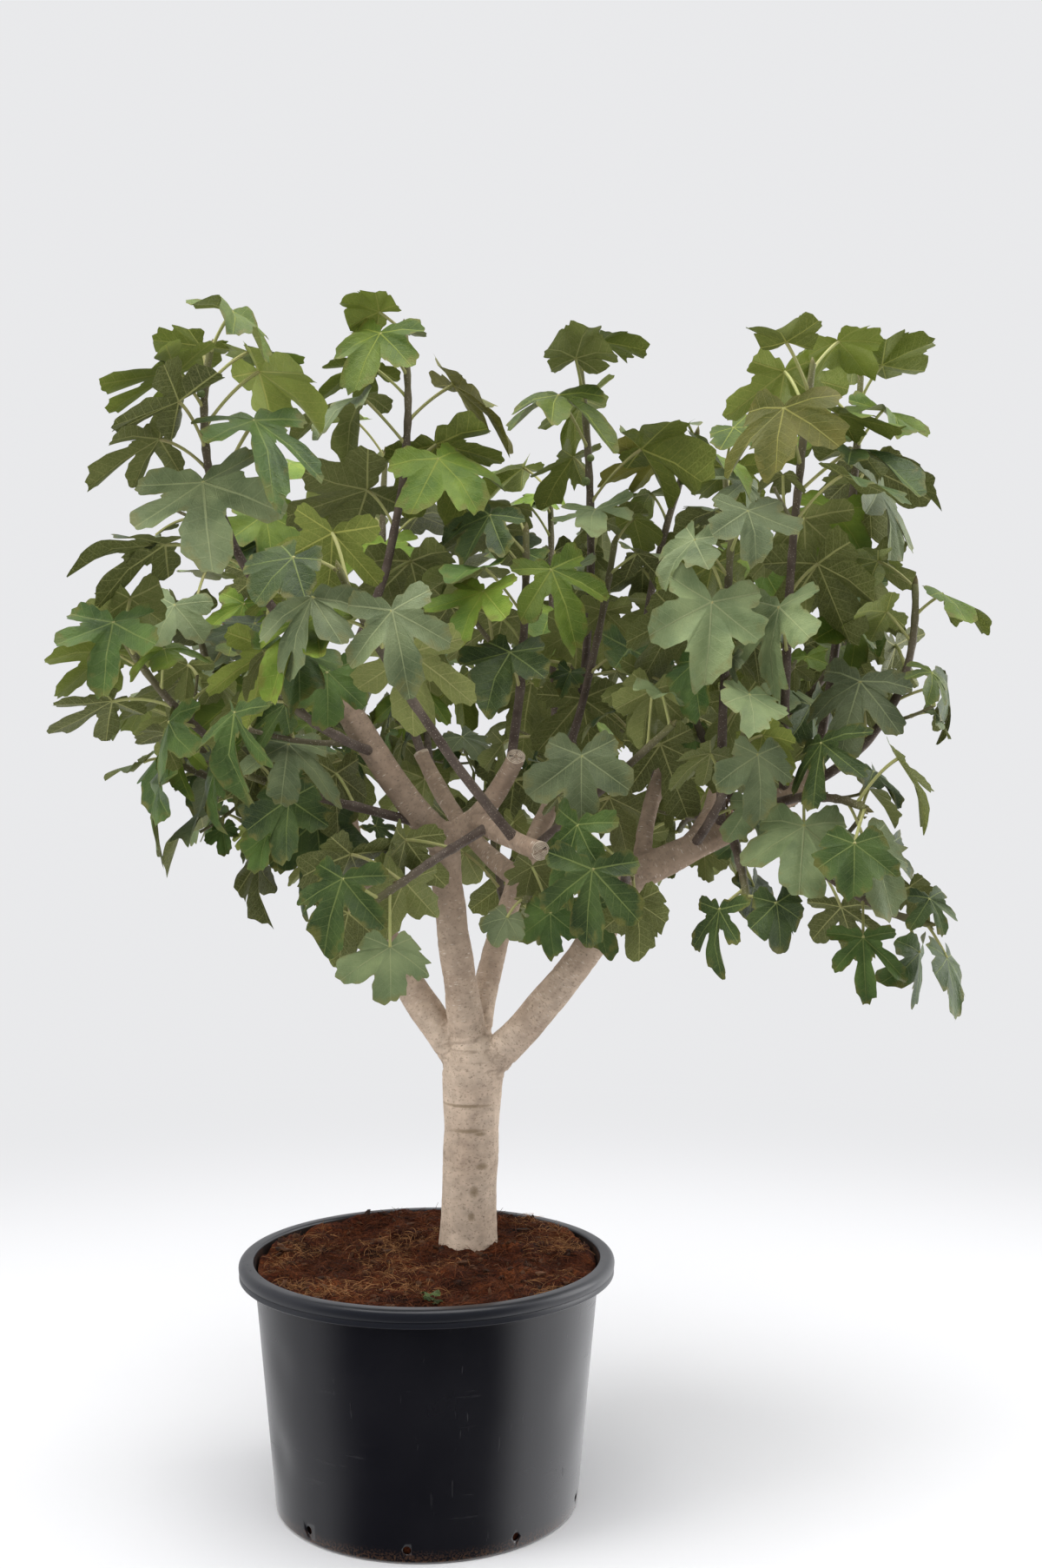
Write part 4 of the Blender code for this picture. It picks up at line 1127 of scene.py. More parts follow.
# Each shoot's tip and bow in millimetres, its size in metres, and its leaves' word
SHOOTS = [Shoot(name, parent, share, metres(tip), metres(bow), *rest)
          for name, parent, share, tip, bow, *rest in (
    ("left_tall", "centre_left_bough", 0.97, (-404, -200, 2284), (-92, -20, -12), 10, 0, 0.235, "nkpBrGgbaq"),
    ("middle_tall", "centre_left_bough", 0.9, (-50, 30, 2388), (54, 20, -35), 10, 0, 0.205, "Mpvt7ZOVTn"),
    ("front_arching", "front_stub", 0.6, (-131, -460, 1826), (-32, -40, 15), 8, 0, 0.185, "6zkrCeCY"),
    ("left_spreading", "left_upper_bough", 0.92, (-602, -100, 1744), (-22, -65, -50), 8, 1, 0.2, "o_VtYTK3_v"),
    ("left_low", "centre_left_bough", 0.12, (-347, -120, 1464), (-30, 0, 4), 6, 0, 0.185, "klpK__"),
    ("rear_tall", "rear_bough", 0.97, (316, 160, 2340), (37, -40, -40), 10, 0, 0.2, "b_uN8kNLVI"),
    ("middle_rear", "rear_bough", 0.86, (388, 120, 1960), (10, -30, -20), 6, 0, 0.18, "rc9Frq"),
    ("right_rear_tall", "right_stub", 0.85, (572, 220, 2205), (-60, 70, -30), 8, 0, 0.165, "_Qc0fWWD"),
    ("right_tall", "right_outer_bough", 0.8, (760, -140, 2267), (-20, -30, 0), 10, 0, 0.21, "hIFsOKgmkP"),
    ("right_end_tall", "right_outer_bough", 0.97, (906, 120, 2305), (20, 30, 0), 10, 0, 0.205, "aQNfk4rNH8"),
    ("right_end", "right_outer_bough", 0.88, (985, -30, 1850), (60, -30, -50), 6, 0, 0.185, "ROd6az"),
    ("right_drooping", "right_outer_bough", 0.66, (970, -210, 1180), (0, -30, -40), 8, 1, 0.17, "c_EC_uQVXo"),
    ("fork_twigs", "right_bough", 0.62, (190, -80, 1219), (50, 20, 30), 4, 0, 0.11, "Kj8C"),
    ("right_low_front", "right_bough", 0.9, (400, -240, 1280), (0, -20, 40), 5, 0, 0.19, "9QHhg"),
    ("middle_front", "rear_bough", 0.72, (487, -140, 1564), (-20, -20, -20), 5, 0, 0.165, "0u5Zh"),
    ("right_front", "right_outer_bough", 0.3, (625, -180, 1560), (0, -30, -20), 5, 0, 0.17, "9qIua"),
    ("right_inner", "right_outer_bough", 0.58, (520, -60, 1640), (-20, 0, 20), 5, 0, 0.175, "T_ajz"),
    ("front_drooping", "front_stub", 0.2, (-110, -200, 1210), (10, -20, 10), 7, 0, 0.165, "GcANRnQ"),
    ("left_rear", "left_rear_bough", 0.88, (-517, 200, 1830), (-30, 0, -50), 8, 0, 0.19, "Jkpj5CdQ"),
    ("left_front", "centre_left_bough", 0.55, (-280, -320, 1640), (0, -30, -20), 6, 1, 0.19, "yoJYEamS"),
    ("centre_tall", "centre_stub", 0.88, (200, 0, 1960), (10, 20, 0), 7, 1, 0.18, "B9YMguLqc"),
    ("right_middle", "right_outer_bough", 0.45, (600, -160, 1950), (-10, -50, 0), 7, 0, 0.18, "idCWWe9"),
    ("right_end_front", "right_outer_bough", 0.73, (840, -260, 1400), (0, -20, 20), 6, 0, 0.195, "3Y6uAw"),
    ("right_under", "right_outer_bough", 0.5, (620, -220, 1230), (0, -20, 10), 6, 0, 0.18, "8p__go"),
    ("left_under", "left_upper_bough", 0.35, (-330, 0, 1330), (0, -10, 20), 7, 0, 0.18, "kW_f_tt"),
    ("left_end", "left_upper_bough", 0.78, (-540, 40, 1500), (0, -10, -10), 7, 0, 0.19, "_zQ_CiW"),
    ("rear_left_tall", "left_rear_bough", 0.97, (-420, 480, 2120), (-40, 20, -30), 8, 0, 0.185, "bacXk7lv"),
    ("rear_left_end", "left_rear_bough", 0.72, (-600, 430, 1600), (0, 20, -40), 7, 0, 0.185, "gMiB8dE"),
    ("rear_left_out", "left_rear_bough", 0.8, (-320, 660, 1660), (0, 40, -30), 7, 0, 0.185, "eTahaag"),
    ("back_left_tall", "rear_left_bough", 0.97, (-130, 560, 2230), (-40, 30, -20), 8, 0, 0.185, "TmRPYPNr"),
    ("back_left_low", "rear_left_bough", 0.82, (-60, 780, 1700), (0, 30, -40), 7, 0, 0.185, "jApevas"),
    ("back_tall", "rear_bough", 0.92, (260, 620, 2160), (0, 50, -30), 8, 0, 0.185, "tcUxNkeQ"),
    ("back_out", "rear_bough", 0.8, (300, 800, 1700), (0, 30, -40), 7, 0, 0.185, "NvHhgkw"),
    ("back_right_tall", "right_rear_bough", 0.97, (660, 460, 2180), (20, 40, -20), 8, 0, 0.185, "D9bcoWRY"),
    ("back_right_out", "right_rear_bough", 0.85, (700, 680, 1720), (10, 30, -40), 7, 0, 0.185, "OEzb6av"),
    ("back_right_end", "right_rear_bough", 0.92, (980, 360, 1860), (20, 20, -40), 7, 0, 0.185, "2c4ScHw"),
    ("back_low", "rear_bough", 0.5, (120, 600, 1340), (0, 20, -20), 5, 0, 0.18, "edI_S"),
    ("back_right_low", "right_rear_bough", 0.45, (560, 500, 1340), (0, 20, 20), 5, 0, 0.18, "4j9fF"),
)]


def spoke_out(heading, angle):
    """A direction square to a heading, at an angle round it."""
    return Matrix.Rotation(angle, 3, heading) @ heading.orthogonal().normalized()


def twig_row(start, tip, bow, rng):
    """A side twig leaves its stem low down and turns up towards the light."""
    share = rng.uniform(*TWIG_SHARE)
    point = path_point(start, tip, bow, share)
    heading = path_heading(start, tip, bow, share)
    radial = spoke_out(heading, rng.uniform(0, math.tau))
    length = rng.uniform(*TWIG_LENGTH)
    end = point + (radial * 0.8 + heading * 0.5 + Vector((0, 0, 0.3))).normalized() * length
    return point, end, Vector((0, 0, -0.010))


def leaf_nodes(name, start, tip, bow, count, bare, first):
    """Where the leaves of a stem stand: share of its length, point, heading and turn of the spiral."""
    turn = random.Random(name).uniform(0, math.tau) + first
    for index in range(count):
        share = bare + (LAST_LEAF - bare) * (index / max(count - 1, 1)) ** CROWDING
        turn += GOLDEN_TURN
        yield share, path_point(start, tip, bow, share), path_heading(start, tip, bow, share), turn


def shoot_nodes(shoot):
    """The leaf nodes of a shoot, on its stem and then on its side twigs, with their full size."""
    start, tip, bow = fig.stem(shoot)
    for node in leaf_nodes(shoot.name, start, tip, bow, shoot.leaves, BARE_SHARE, 0):
        yield node, shoot.size
    for number, twig in enumerate(fig.twigs(shoot)):
        for node in leaf_nodes(shoot.name, *twig, TWIG_LEAVES, TWIG_BARE, number + 1):
            yield node, shoot.size * TWIG_LEAF


def cane(start, tip, bow, foot, end, steps, sides, nodes, seed):
    """A tapering cane whose radius swells at each leaf node and at its foot."""
    length = (tip - start).length
    points, headings = path_way(start, tip, bow, steps)
    radii = []
    for step in range(steps + 1):
        share = step / steps
        radius = foot + (end - foot) * share
        swell = 0.30 * math.exp(-share * length / 0.012)
        for node in nodes:
            swell += 0.20 * math.exp(-(((share - node) * length) / 0.008) ** 2)
        lump = 0.05 * noise.noise(Vector((share * length * 40, seed, 1.5)))
        place = Vector((share * length * 9, seed, 4.5))
        wander = Vector([noise.noise(place + Vector(shift)) for shift in WANDER_SHIFTS]) * radius * WANDER
        points[step] = points[step] + wander * math.sin(math.pi * share)
        radii.append(radius * (1 + swell + lump))
    return array_shape(tube(points, radii, headings, sides))


def cane_material(name, base, bloom, tip_colour):
    """Young bark: brown or green, greyed by a bloom, with small pale pores."""
    material, tree, shader = plain_material(name, base, 0.62, 0.3)
    soft = speckle(tree, grain_place(tree), 22.0, 150.0)
    pores = new_node(tree, "TexVoronoi", {"Vector": grain_place(tree), "Scale": 210.0}).outputs["Distance"]
    colour = mix(tree, spread(tree, soft["Mottle"], 0.36, 0.64, 0.0, 0.8), base, bloom)
    colour = mix(tree, spread(tree, tint_of(tree), 0.0, 1.0, 0.0, 0.8), colour, tip_colour)
    colour = mix(tree, spread(tree, pores, 0.12, 0.26, 0.7, 0.0), colour, PORE_COLOUR)
    paint(tree, shader, colour, minus(tree, soft["Grain"], pores), 0.4, 0.0008)
    return material


def build_canes(fine_twigs):
    copies = []
    for number, shoot in enumerate(SHOOTS):
        start, tip, bow = fig.stem(shoot)
        shares = [node[0] for node in leaf_nodes(shoot.name, start, tip, bow, shoot.leaves, BARE_SHARE, 0)]
        shape = cane(start, tip, bow, STEM_FOOT, STEM_TIP, STEM_STEPS, STEM_SIDES, shares, number * 3.1)
        run = shape.grain.reshape(-1, 3)[:, 2]
        copies.append((shape, shape.points, (run / run.max()) ** 5))
        for count, twig in enumerate(fig.twigs(shoot)):
            shape = cane(*twig, TWIG_FOOT, TWIG_TIP, *TWIG_FACES, (TWIG_BARE, LAST_LEAF), number * 3.1 + count)
            copies.append((shape, shape.points, 0.35))
    for number, twig in enumerate(fine_twigs):
        shape = cane(*twig, FINE_FOOT, FINE_TIP, *FINE_FACES, (FINE_BARE, LAST_LEAF), number * 1.7)
        copies.append((shape, shape.points, 0.6))
    return copies


# Leaves: a fig leaf has three to five rounded lobes with deep round sinuses, held out on a long
# stalk.  Low in the crown they hang steeply, and near the top they are held almost level.
PETIOLE_RADIUS = 0.0029
PETIOLE_STEPS = 8
PETIOLE_SHARE = (0.36, 0.72)
PETIOLE_RISE = math.radians(42)
PETIOLE_LIFT = 0.45
PETIOLE_ARCH = 0.085
SIZE_SPREAD = (0.75, 1.20)
TAPER_FROM = 0.75
TIP_TAPER = 0.8
TURN = 1.2
YAW = 0.5
ROLL = 0.5
BLADE_THICKNESS = 0.020
BLADE_CUP = 0.16
DROOP_LOW = math.radians(74)
DROOP_HIGH = math.radians(22)
CROWN_LOW = 1.15
CROWN_HIGH = 2.30
DROOP_SPREAD = 0.5
YOUNG_FROM = 0.92
YOUNG_LIFT = 0.35
LEFT_OUT = "_"
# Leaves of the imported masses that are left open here, so that the boughs behind them show
OPEN_LEAVES = (("front_arching", 0), ("front_arching", 2), ("front_drooping", 2), ("left_front", 0),
               ("right_low_front", 1), ("right_low_front", 2), ("right_under", 0), ("right_end_front", 2))
LEAF_STEPS = ((0.99, 0.30), (0.95, 0.60), (0.87, 0.86), (0.76, 1.0), (0.63, 0.92), (0.50, 0.70), (0.38, 0.56))
HEEL = ((152, 0.15), (168, 0.055))
HEEL_REACH = 0.03
INNER_RING = 0.52
MARGIN_TEETH = 0.062
LOBE_CHANCE = 0.13
SINUS_ROUND = 4.0
BITE_CHANCE = 0.45
FORM_VARIANTS = 4

# Forms of the blade: bearing, reach and half width of the middle, side and heel lobe, as shares of
# the leaf's length, then the reach of the two sinuses between them.
LEAF_FORMS = {
    "deep": ((0, 0.79, 0.172), (51, 0.69, 0.156), (110, 0.47, 0.132), 0.32, 0.29),
    "broad": ((0, 0.77, 0.212), (54, 0.67, 0.190), (112, 0.46, 0.160), 0.42, 0.36),
    "waisted": ((0, 0.81, 0.182), (50, 0.70, 0.162), (106, 0.49, 0.138), 0.27, 0.26),
    "three": ((0, 0.78, 0.228), (58, 0.62, 0.198), (118, 0.36, 0.138), 0.39, 0.34),
    "narrow": ((0, 0.81, 0.142), (48, 0.69, 0.126), (103, 0.50, 0.110), 0.27, 0.25),
    "young": ((0, 0.74, 0.215), (54, 0.54, 0.185), (113, 0.37, 0.150), 0.46, 0.35),
}

# A blade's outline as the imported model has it, a little larger
ROUGH_OUTLINE = ((0, 0.80), (25, 0.46), (48, 0.68), (112, 0.48), (160, 0.06),
                 (200, 0.06), (248, 0.48), (312, 0.68), (335, 0.46))

Leaf = namedtuple("Leaf", "root joint forward side normal size")
Chance = namedtuple("Chance", "turn size petiole yaw droop roll")
Form = namedtuple("Form", "shape across")


def leaf_chance(name, index, letter):
    """The chances of one leaf, which depend only on its shoot, its place there and its letter."""
    rng = random.Random(f"{name} {index} {letter}")
    return Chance(rng.uniform(-TURN, TURN), rng.uniform(*SIZE_SPREAD), rng.uniform(*PETIOLE_SHARE),
                  rng.uniform(-YAW, YAW), rng.uniform(-DROOP_SPREAD, DROOP_SPREAD), rng.uniform(-ROLL, ROLL))


def leaf_on(point, heading, turn, chance, full, share):
    """Work out one leaf: its petiole leaves the stem at a turn, and its blade hangs from that."""
    taper = 1.0 if share < TAPER_FROM else 1.0 - TIP_TAPER * (share - TAPER_FROM)
    size = full * taper * chance.size
    radial = spoke_out(heading, turn)
    steep = abs(heading.z)
    outward = radial * math.cos(PETIOLE_RISE) + heading * math.sin(PETIOLE_RISE) * (0.5 + 0.5 * steep)
    outward = (outward + Vector((0, 0, PETIOLE_LIFT * (1 - steep)))).normalized()
    joint = point + outward * size * chance.petiole
    level = Vector((outward.x, outward.y, 0))
    if level.length < 0.15:
        level = Vector((radial.x, radial.y, 0))
    level = Matrix.Rotation(chance.yaw, 3, "Z") @ level.normalized()
    height = clamped((joint.z - CROWN_LOW) / (CROWN_HIGH - CROWN_LOW))
    droop = DROOP_LOW + (DROOP_HIGH - DROOP_LOW) * height + chance.droop
    if share > YOUNG_FROM:
        droop -= YOUNG_LIFT
    forward = level * math.cos(droop) - Vector((0, 0, math.sin(droop)))
    side = Matrix.Rotation(chance.roll, 3, forward) @ Vector((0, 0, 1)).cross(level)
    return Leaf(point, joint, forward, side, forward.cross(side).normalized(), size)


def shoot_leaf(shoot, index, node, full, letter):
    share, point, heading, turn = node
    chance = leaf_chance(shoot.name, index, letter)
    return leaf_on(point, heading, turn + chance.turn, chance, full, share)


def half_outline(lobes, sinuses, rng):
    """Bearing and reach of the outline's points down one side, from the middle tip to the heel."""
    rays = []
    for number, (bearing, reach, half) in enumerate(lobes):
        before = bearing - lobes[number - 1][0] if number else 0
        after = lobes[number + 1][0] - bearing if number < 2 else 88
        reach *= rng.uniform(1 - LOBE_CHANCE, 1 + LOBE_CHANCE / 3)
        half *= rng.uniform(1 - LOBE_CHANCE, 1 + LOBE_CHANCE)
        sides = []
        for limit, floor in ((0.46 * before, sinuses[number - 1] if number else 0),
                             (0.46 * after, sinuses[number] if number < 2 else 0)):
            side = []
            for step, (along, across) in enumerate(LEAF_STEPS):
                tooth = MARGIN_TEETH * (-1) ** step * rng.uniform(0.1, 1.8)
                out = half * across * (1 + tooth)
                ahead = reach * along * (1 + tooth * 0.35)
                angle = math.degrees(math.atan2(out, ahead))
                if angle < limit and math.hypot(out, ahead) > floor * 1.06:
                    side.append((angle, math.hypot(out, ahead)))
            sides.append(side)
        if number:
            rays += [(bearing - angle, away) for angle, away in reversed(sides[0])]
        rays += [(bearing, reach)] + [(bearing + angle, away) for angle, away in sides[1]]
        if number < 2:
            for turn in (-SINUS_ROUND, 0, SINUS_ROUND):
                rays.append((bearing + after / 2 + turn, sinuses[number] * (1 + 0.03 * abs(turn))))
    if rng.random() < BITE_CHANCE:
        bite = rng.randrange(3, len(rays) - 6)
        for index in (bite, bite + 1):
            rays[index] = (rays[index][0], rays[index][1] * 0.86)
    spread_out = [rays[0]]
    for bearing, reach in rays[1:]:
        spread_out.append((max(bearing, spread_out[-1][0] + 0.45), reach))
    return spread_out + list(HEEL)


def rounded(points, rng):
    """Put one point between each two, on the curve that passes through all of them."""
    curve = []
    for index, point in enumerate(points):
        after = points[(index + 1) % len(points)]
        beyond = points[(index + 2) % len(points)]
        between = (point + after) * 9 / 16 - (points[index - 1] + beyond) / 16
        curve += [point, between * rng.uniform(0.985, 1.012)]
    return curve


def leaf_form(name, variant):
    """A flat blade: a fan round the joint and a ring outside it, with the veins' own UV map."""
    rng = random.Random(f"{name} leaf {variant}")
    *lobes, inner, outer = LEAF_FORMS[name]
    left = half_outline(lobes, (inner, outer), rng)
    right = half_outline(lobes, (inner * 1.08, outer * 0.95), rng)
    rays = left + [(180, HEEL_REACH)] + [(360 - bearing, reach) for bearing, reach in reversed(right[1:])]
    points = [Matrix.Rotation(math.radians(bearing), 2) @ Vector((reach, 0)) for bearing, reach in rays]
    outline = rounded(points, rng)
    bm = bmesh.new()
    bmesh.ops.create_circle(bm, cap_ends=True, cap_tris=True, segments=len(outline), radius=1.0)
    ray = bm.verts.layers.int.new("ray")
    ring = [vert for vert in bm.verts if vert.co.length > 0.5]
    ring.sort(key=lambda vert: round(math.atan2(vert.co.y, vert.co.x) % math.tau, 4))
    for index, vert in enumerate(ring):
        vert[ray] = index + 1
    grown = bmesh.ops.extrude_edge_only(bm, edges=[edge for edge in bm.edges if edge.is_boundary])
    outer_ring = [part for part in grown["geom"] if isinstance(part, bmesh.types.BMVert)]
    for vert in bm.verts:
        if vert[ray]:
            vert.co = (outline[vert[ray] - 1] * (1.0 if vert in outer_ring else INNER_RING)).to_3d()
    axes = [math.radians(lobe[0] * sign) for lobe in lobes for sign in (1, -1)]
    vein = bm.loops.layers.uv.new("vein")
    rim = bm.loops.layers.uv.new("rim")
    for face in bm.faces:
        centre = face.calc_center_median()
        bearing = math.atan2(centre.y, centre.x)
        axis = min(axes, key=lambda angle: abs(between(bearing, angle)))
        for loop in face.loops:
            place = Matrix.Rotation(-axis, 2) @ loop.vert.co.xy
            loop[vein].uv = (place.x, abs(place.y))
            share = (1.0 if loop.vert in outer_ring else INNER_RING) if loop.vert[ray] else 0.0
            loop[rim].uv = (share, bearing / math.tau)
    across = []
    for vert in bm.verts:
        places = [Matrix.Rotation(-axis, 2) @ vert.co.xy for axis in axes]
        across.append(min(abs(place.y) + max(-place.x, 0) for place in places))
    bm.verts.layers.int.remove(ray)
    return Form(array_shape(bm, recalculate=False), np.array(across))


def in_leaf(leaf, size, x, y, height):
    """Points on a leaf's own axes, as places in the tree."""
    axes = np.array((leaf.forward, leaf.side, leaf.normal)) * size
    return np.column_stack((x, y, height)) @ axes + np.array(leaf.joint)


def blade_points(form, leaf, rng):
    """Lay a form on its leaf: it sags and curls as it dries, and folds a little along each vein."""
    x, y = form.shape.points[:, 0], form.shape.points[:, 1]
    bearing = np.arctan2(y, x)
    stretch = 1 + 0.07 * np.sin(bearing * 2.5 + rng.uniform(0, math.tau))
    x = x * stretch
    y = y * stretch * rng.uniform(0.90, 1.06)
    reach = np.hypot(x, y)
    height = -BLADE_CUP * reach ** 2 + rng.uniform(0.10, 0.50) * form.across
    wave = rng.uniform(0.05, 0.19)
    height += wave * np.sin(bearing * rng.choice((1, 2, 3)) + rng.uniform(0, math.tau)) * reach
    height += rng.uniform(0.06, 0.16) * np.sin(bearing * 8 + rng.uniform(0, math.tau)) * reach ** 3
    height += rng.uniform(-0.85, 0.45) * y ** 2 + rng.uniform(-0.40, 0.40) * x * y
    height -= rng.uniform(-0.3, 1.5) * np.maximum(x - 0.40, 0) ** 2
    return in_leaf(leaf, leaf.size, x, y, height)


def petiole(leaf, rng):
    """The stalk: swollen at its foot, arched, and a little thicker again where the veins part."""
    length = (leaf.joint - leaf.root).length
    bow = Vector((0, 0, PETIOLE_ARCH * length * rng.uniform(0.2, 1.2)))
    points, headings = path_way(leaf.root, leaf.joint, bow, PETIOLE_STEPS)
    thick = PETIOLE_RADIUS * (0.75 + 0.25 * leaf.size / 0.2)
    shares = [step / PETIOLE_STEPS for step in range(PETIOLE_STEPS + 1)]
    radii = [thick * (1 + 0.9 * math.exp(-share * length / 0.010) + 0.25 * share) for share in shares]
    return array_shape(tube(points, radii, headings, 6))


def leaf_kept(leaf, packed):
    """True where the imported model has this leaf, which it leaves out where it would touch another."""
    crown = leaf.joint + leaf.normal * (leaf.size * BLADE_THICKNESS / 2)
    return packed.find(crown)[2] < 0.002


def packed_points():
    """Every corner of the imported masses, to look up where their leaves stand."""
    places = []
    for name, node in frame["nodes"].items():
        if name.startswith("foliage_"):
            places += [vert.co for vert in node.data.vertices]
    found = KDTree(len(places))
    for index, place in enumerate(places):
        found.insert(place, index)
    found.balance()
    return found


def grown_leaves():
    """The leaves of every shoot by the rule, with the shoot and the share of it that each stands at."""
    packed = packed_points()
    leaves = []
    for shoot in SHOOTS:
        for index, (node, full) in enumerate(shoot_nodes(shoot)):
            if shoot.word[index] == LEFT_OUT or (shoot.name, index) in OPEN_LEAVES:
                continue
            leaf = shoot_leaf(shoot, index, node, full, shoot.word[index])
            if leaf_kept(leaf, packed):
                leaves.append((leaf, shoot, node[0], index))
    return leaves


def packed_surface():
    """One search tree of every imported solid, to keep finer growth clear of them."""
    points = []
    faces = []
    for node in frame["nodes"].values():
        first = len(points)
        points += [vert.co.copy() for vert in node.data.vertices]
        faces += [[first + index for index in face.vertices] for face in node.data.polygons]
    return BVHTree.FromPolygons(points, faces)


def rough_blade(leaf):
    """A leaf's outline as a fan of a few faces, a little larger than it is."""
    points = [leaf.joint]
    for bearing, reach in ROUGH_OUTLINE:
        angle = math.radians(bearing)
        away = reach * leaf.size
        sag = leaf.normal * (BLADE_CUP * reach * away)
        out = leaf.forward * (math.cos(angle) * away) + leaf.side * (math.sin(angle) * away)
        points.append(leaf.joint + out - sag)
    count = len(ROUGH_OUTLINE)
    return points, [(0, index, index % count + 1) for index in range(1, count + 1)]


def clear_way(surface, start, end):
    """True where nothing stands between two points, once past the limb that the first lies in."""
    way = end - start
    foot = min(0.4 * way.length, 0.022)
    return surface.ray_cast(start + way.normalized() * foot, way.normalized(), way.length - foot)[0] is None


def inside_box(points):
    low, high = cad_box
    return all(low[axis] < point[axis] < high[axis] for point in points for axis in range(3))


def in_window(leaf):
    """True where a leaf would hide the boughs that show through the crown."""
    eye = Vector(CAMERA_PLACE)
    for place in (leaf.joint, leaf.joint + leaf.forward * leaf.size * 0.5):
        seen = eye + (place - eye) * (eye.y / (eye.y - place.y))
        for left, right, low, high, depth in WINDOWS:
            if left < seen.x < right and low < seen.z < high and place.y < depth:
                return True
    return False


def fine_growth():
    """Finer twigs with small leaves, wherever the shoots leave room for them."""
    surface = packed_surface()
    blades = []
    twigs = []
    leaves = []
    for shoot in SHOOTS:
        rng = random.Random(shoot.name + " fine twigs")
        start, tip, bow = fig.stem(shoot)
        for attempt in range(FINE_TRIES[tip.y > FRONT]):
            share = rng.uniform(*FINE_SHARE)
            point = path_point(start, tip, bow, share)
            heading = path_heading(start, tip, bow, share)
            radial = spoke_out(heading, rng.uniform(0, math.tau))
            outward = (radial * 0.9 + heading * 0.35 + Vector((0, 0, 0.25))).normalized()
            end = point + outward * rng.uniform(*FINE_LENGTH)
            way = (point, end, Vector((0, 0, -0.006)))
            if not clear_way(surface, point, end):
                continue
            grown = []
            for node in leaf_nodes(f"{shoot.name} fine {attempt}", *way, FINE_LEAVES, FINE_BARE, 0):
                chance = leaf_chance(shoot.name, attempt, f"fine {len(grown)}")
                leaf = leaf_on(node[1], node[2], node[3], chance, shoot.size * rng.uniform(*FINE_LEAF), 0.5)
                if in_window(leaf):
                    continue
                points, faces = rough_blade(leaf)
                blade = BVHTree.FromPolygons(points, faces)
                if not inside_box(points) or surface.overlap(blade):
                    continue
                if not clear_way(surface, leaf.root, leaf.joint):
                    continue
                if any((other.joint - leaf.joint).length < other.size + leaf.size and shape.overlap(blade)
                       for other, shape in blades):
                    continue
                blades.append((leaf, blade))
                grown.append(leaf)
            if grown:
                twigs.append(way)
                leaves += grown
    return twigs, leaves


def leaf_material(name, dark, light, under, vein_over, vein_under, bloom, roughness):
    """A leaf's two faces: mottled green with pale veins above, duller and paler with raised veins below."""
    material, tree, shader = plain_material(name, light, roughness, LEAF_SPECULAR)
    uv = new_node(tree, "UVMap", uv_map="vein").outputs["UV"]
    split = axes_of(tree, uv)
    along, across = split["X"], split["Y"]
    width = spread(tree, along, 0.0, 0.75, *VEIN_WIDTH)
    main = spread(tree, minus(tree, across, width), -0.001, 0.004, 1.0, 0.0)
    slant = minus(tree, along, times(tree, across, 0.95))
    wave = math_node(tree, "PINGPONG", times(tree, slant, RIBS_PER_LENGTH), 0.5)
    ribs = spread(tree, wave, 0.016, 0.050, 1.0, 0.0)
    ribs = times(tree, ribs, spread(tree, across, 0.02, 0.17, 1.0, 0.35))
    cells = new_node(tree, "TexVoronoi", {"Vector": uv, "Scale": 34.0}, feature="DISTANCE_TO_EDGE")
    net = spread(tree, cells.outputs["Distance"], 0.02, 0.10, 1.0, 0.0)
    place = object_place(tree)
    mottle = speckle(tree, place, 13.0, 160.0)["Mottle"]
    blotch = speckle(tree, place, 42.0, 75.0)["Mottle"]
    tint = tint_of(tree)
    over = mix(tree, spread(tree, mottle, 0.34, 0.66, 0.0, 1.0), dark, light)
    over = mix(tree, 1.0, over, ramp(tree, tint, *TINTS_OVER), "MULTIPLY")
    edge = axes_of(tree, new_node(tree, "UVMap", uv_map="rim").outputs["UV"])["X"]
    over = mix(tree, spread(tree, plus(tree, edge, blotch), 1.38, 1.56, 0.0, 0.65), over, BLOTCH)
    # Dust, with a painted sheen of the sky, laid pale over the upper side by the leaf's bloom share.
    over = mix(tree, times(tree, spread(tree, mottle, 0.30, 0.70, 0.45, 1.0), bloom), over, LEAF_DUST_AND_SHEEN)
    below = mix(tree, 1.0, under, ramp(tree, mottle, (0.3, 0.84), (0.7, 1.12)), "MULTIPLY")
    below = mix(tree, 1.0, below, ramp(tree, tint, *TINTS_UNDER), "MULTIPLY")
    for mask, shown_over, shown_below in zip((net, ribs, main), VEINS_OVER, VEINS_BELOW):
        over = mix(tree, times(tree, mask, shown_over), over, vein_over)
        below = mix(tree, times(tree, mask, shown_below), below, vein_under)
    back = new_node(tree, "NewGeometry").outputs["Backfacing"]
    relief = plus(tree, plus(tree, times(tree, ribs, 0.5), main), times(tree, net, 0.25))
    relief = minus(tree, relief, times(tree, blotch, 3.2))
    paint(tree, shader, mix(tree, back, over, below), relief, 0.60, 0.0018)
    return material


# Colours of the leaves by age and light: dusty blue-green on the outside of the crown, partly dust and
# partly a painted sheen of the sky, plain green low down, fresh yellow-green near the top, made brighter
# as painted light from above, and a few that turn yellow.  Each gives the upper side dark and light, the
# under side, the veins above and below, the share of dust and painted sheen, and the roughness.
BLOTCH = (0.140, 0.125, 0.022)
# Pale grey-green laid over the upper side: partly dust, partly a painted sheen of the sky
LEAF_DUST_AND_SHEEN = (0.36, 0.40, 0.25)
LEAF_SPECULAR = 0.23
VEIN_WIDTH = (0.0075, 0.0010)
RIBS_PER_LENGTH = 10.0
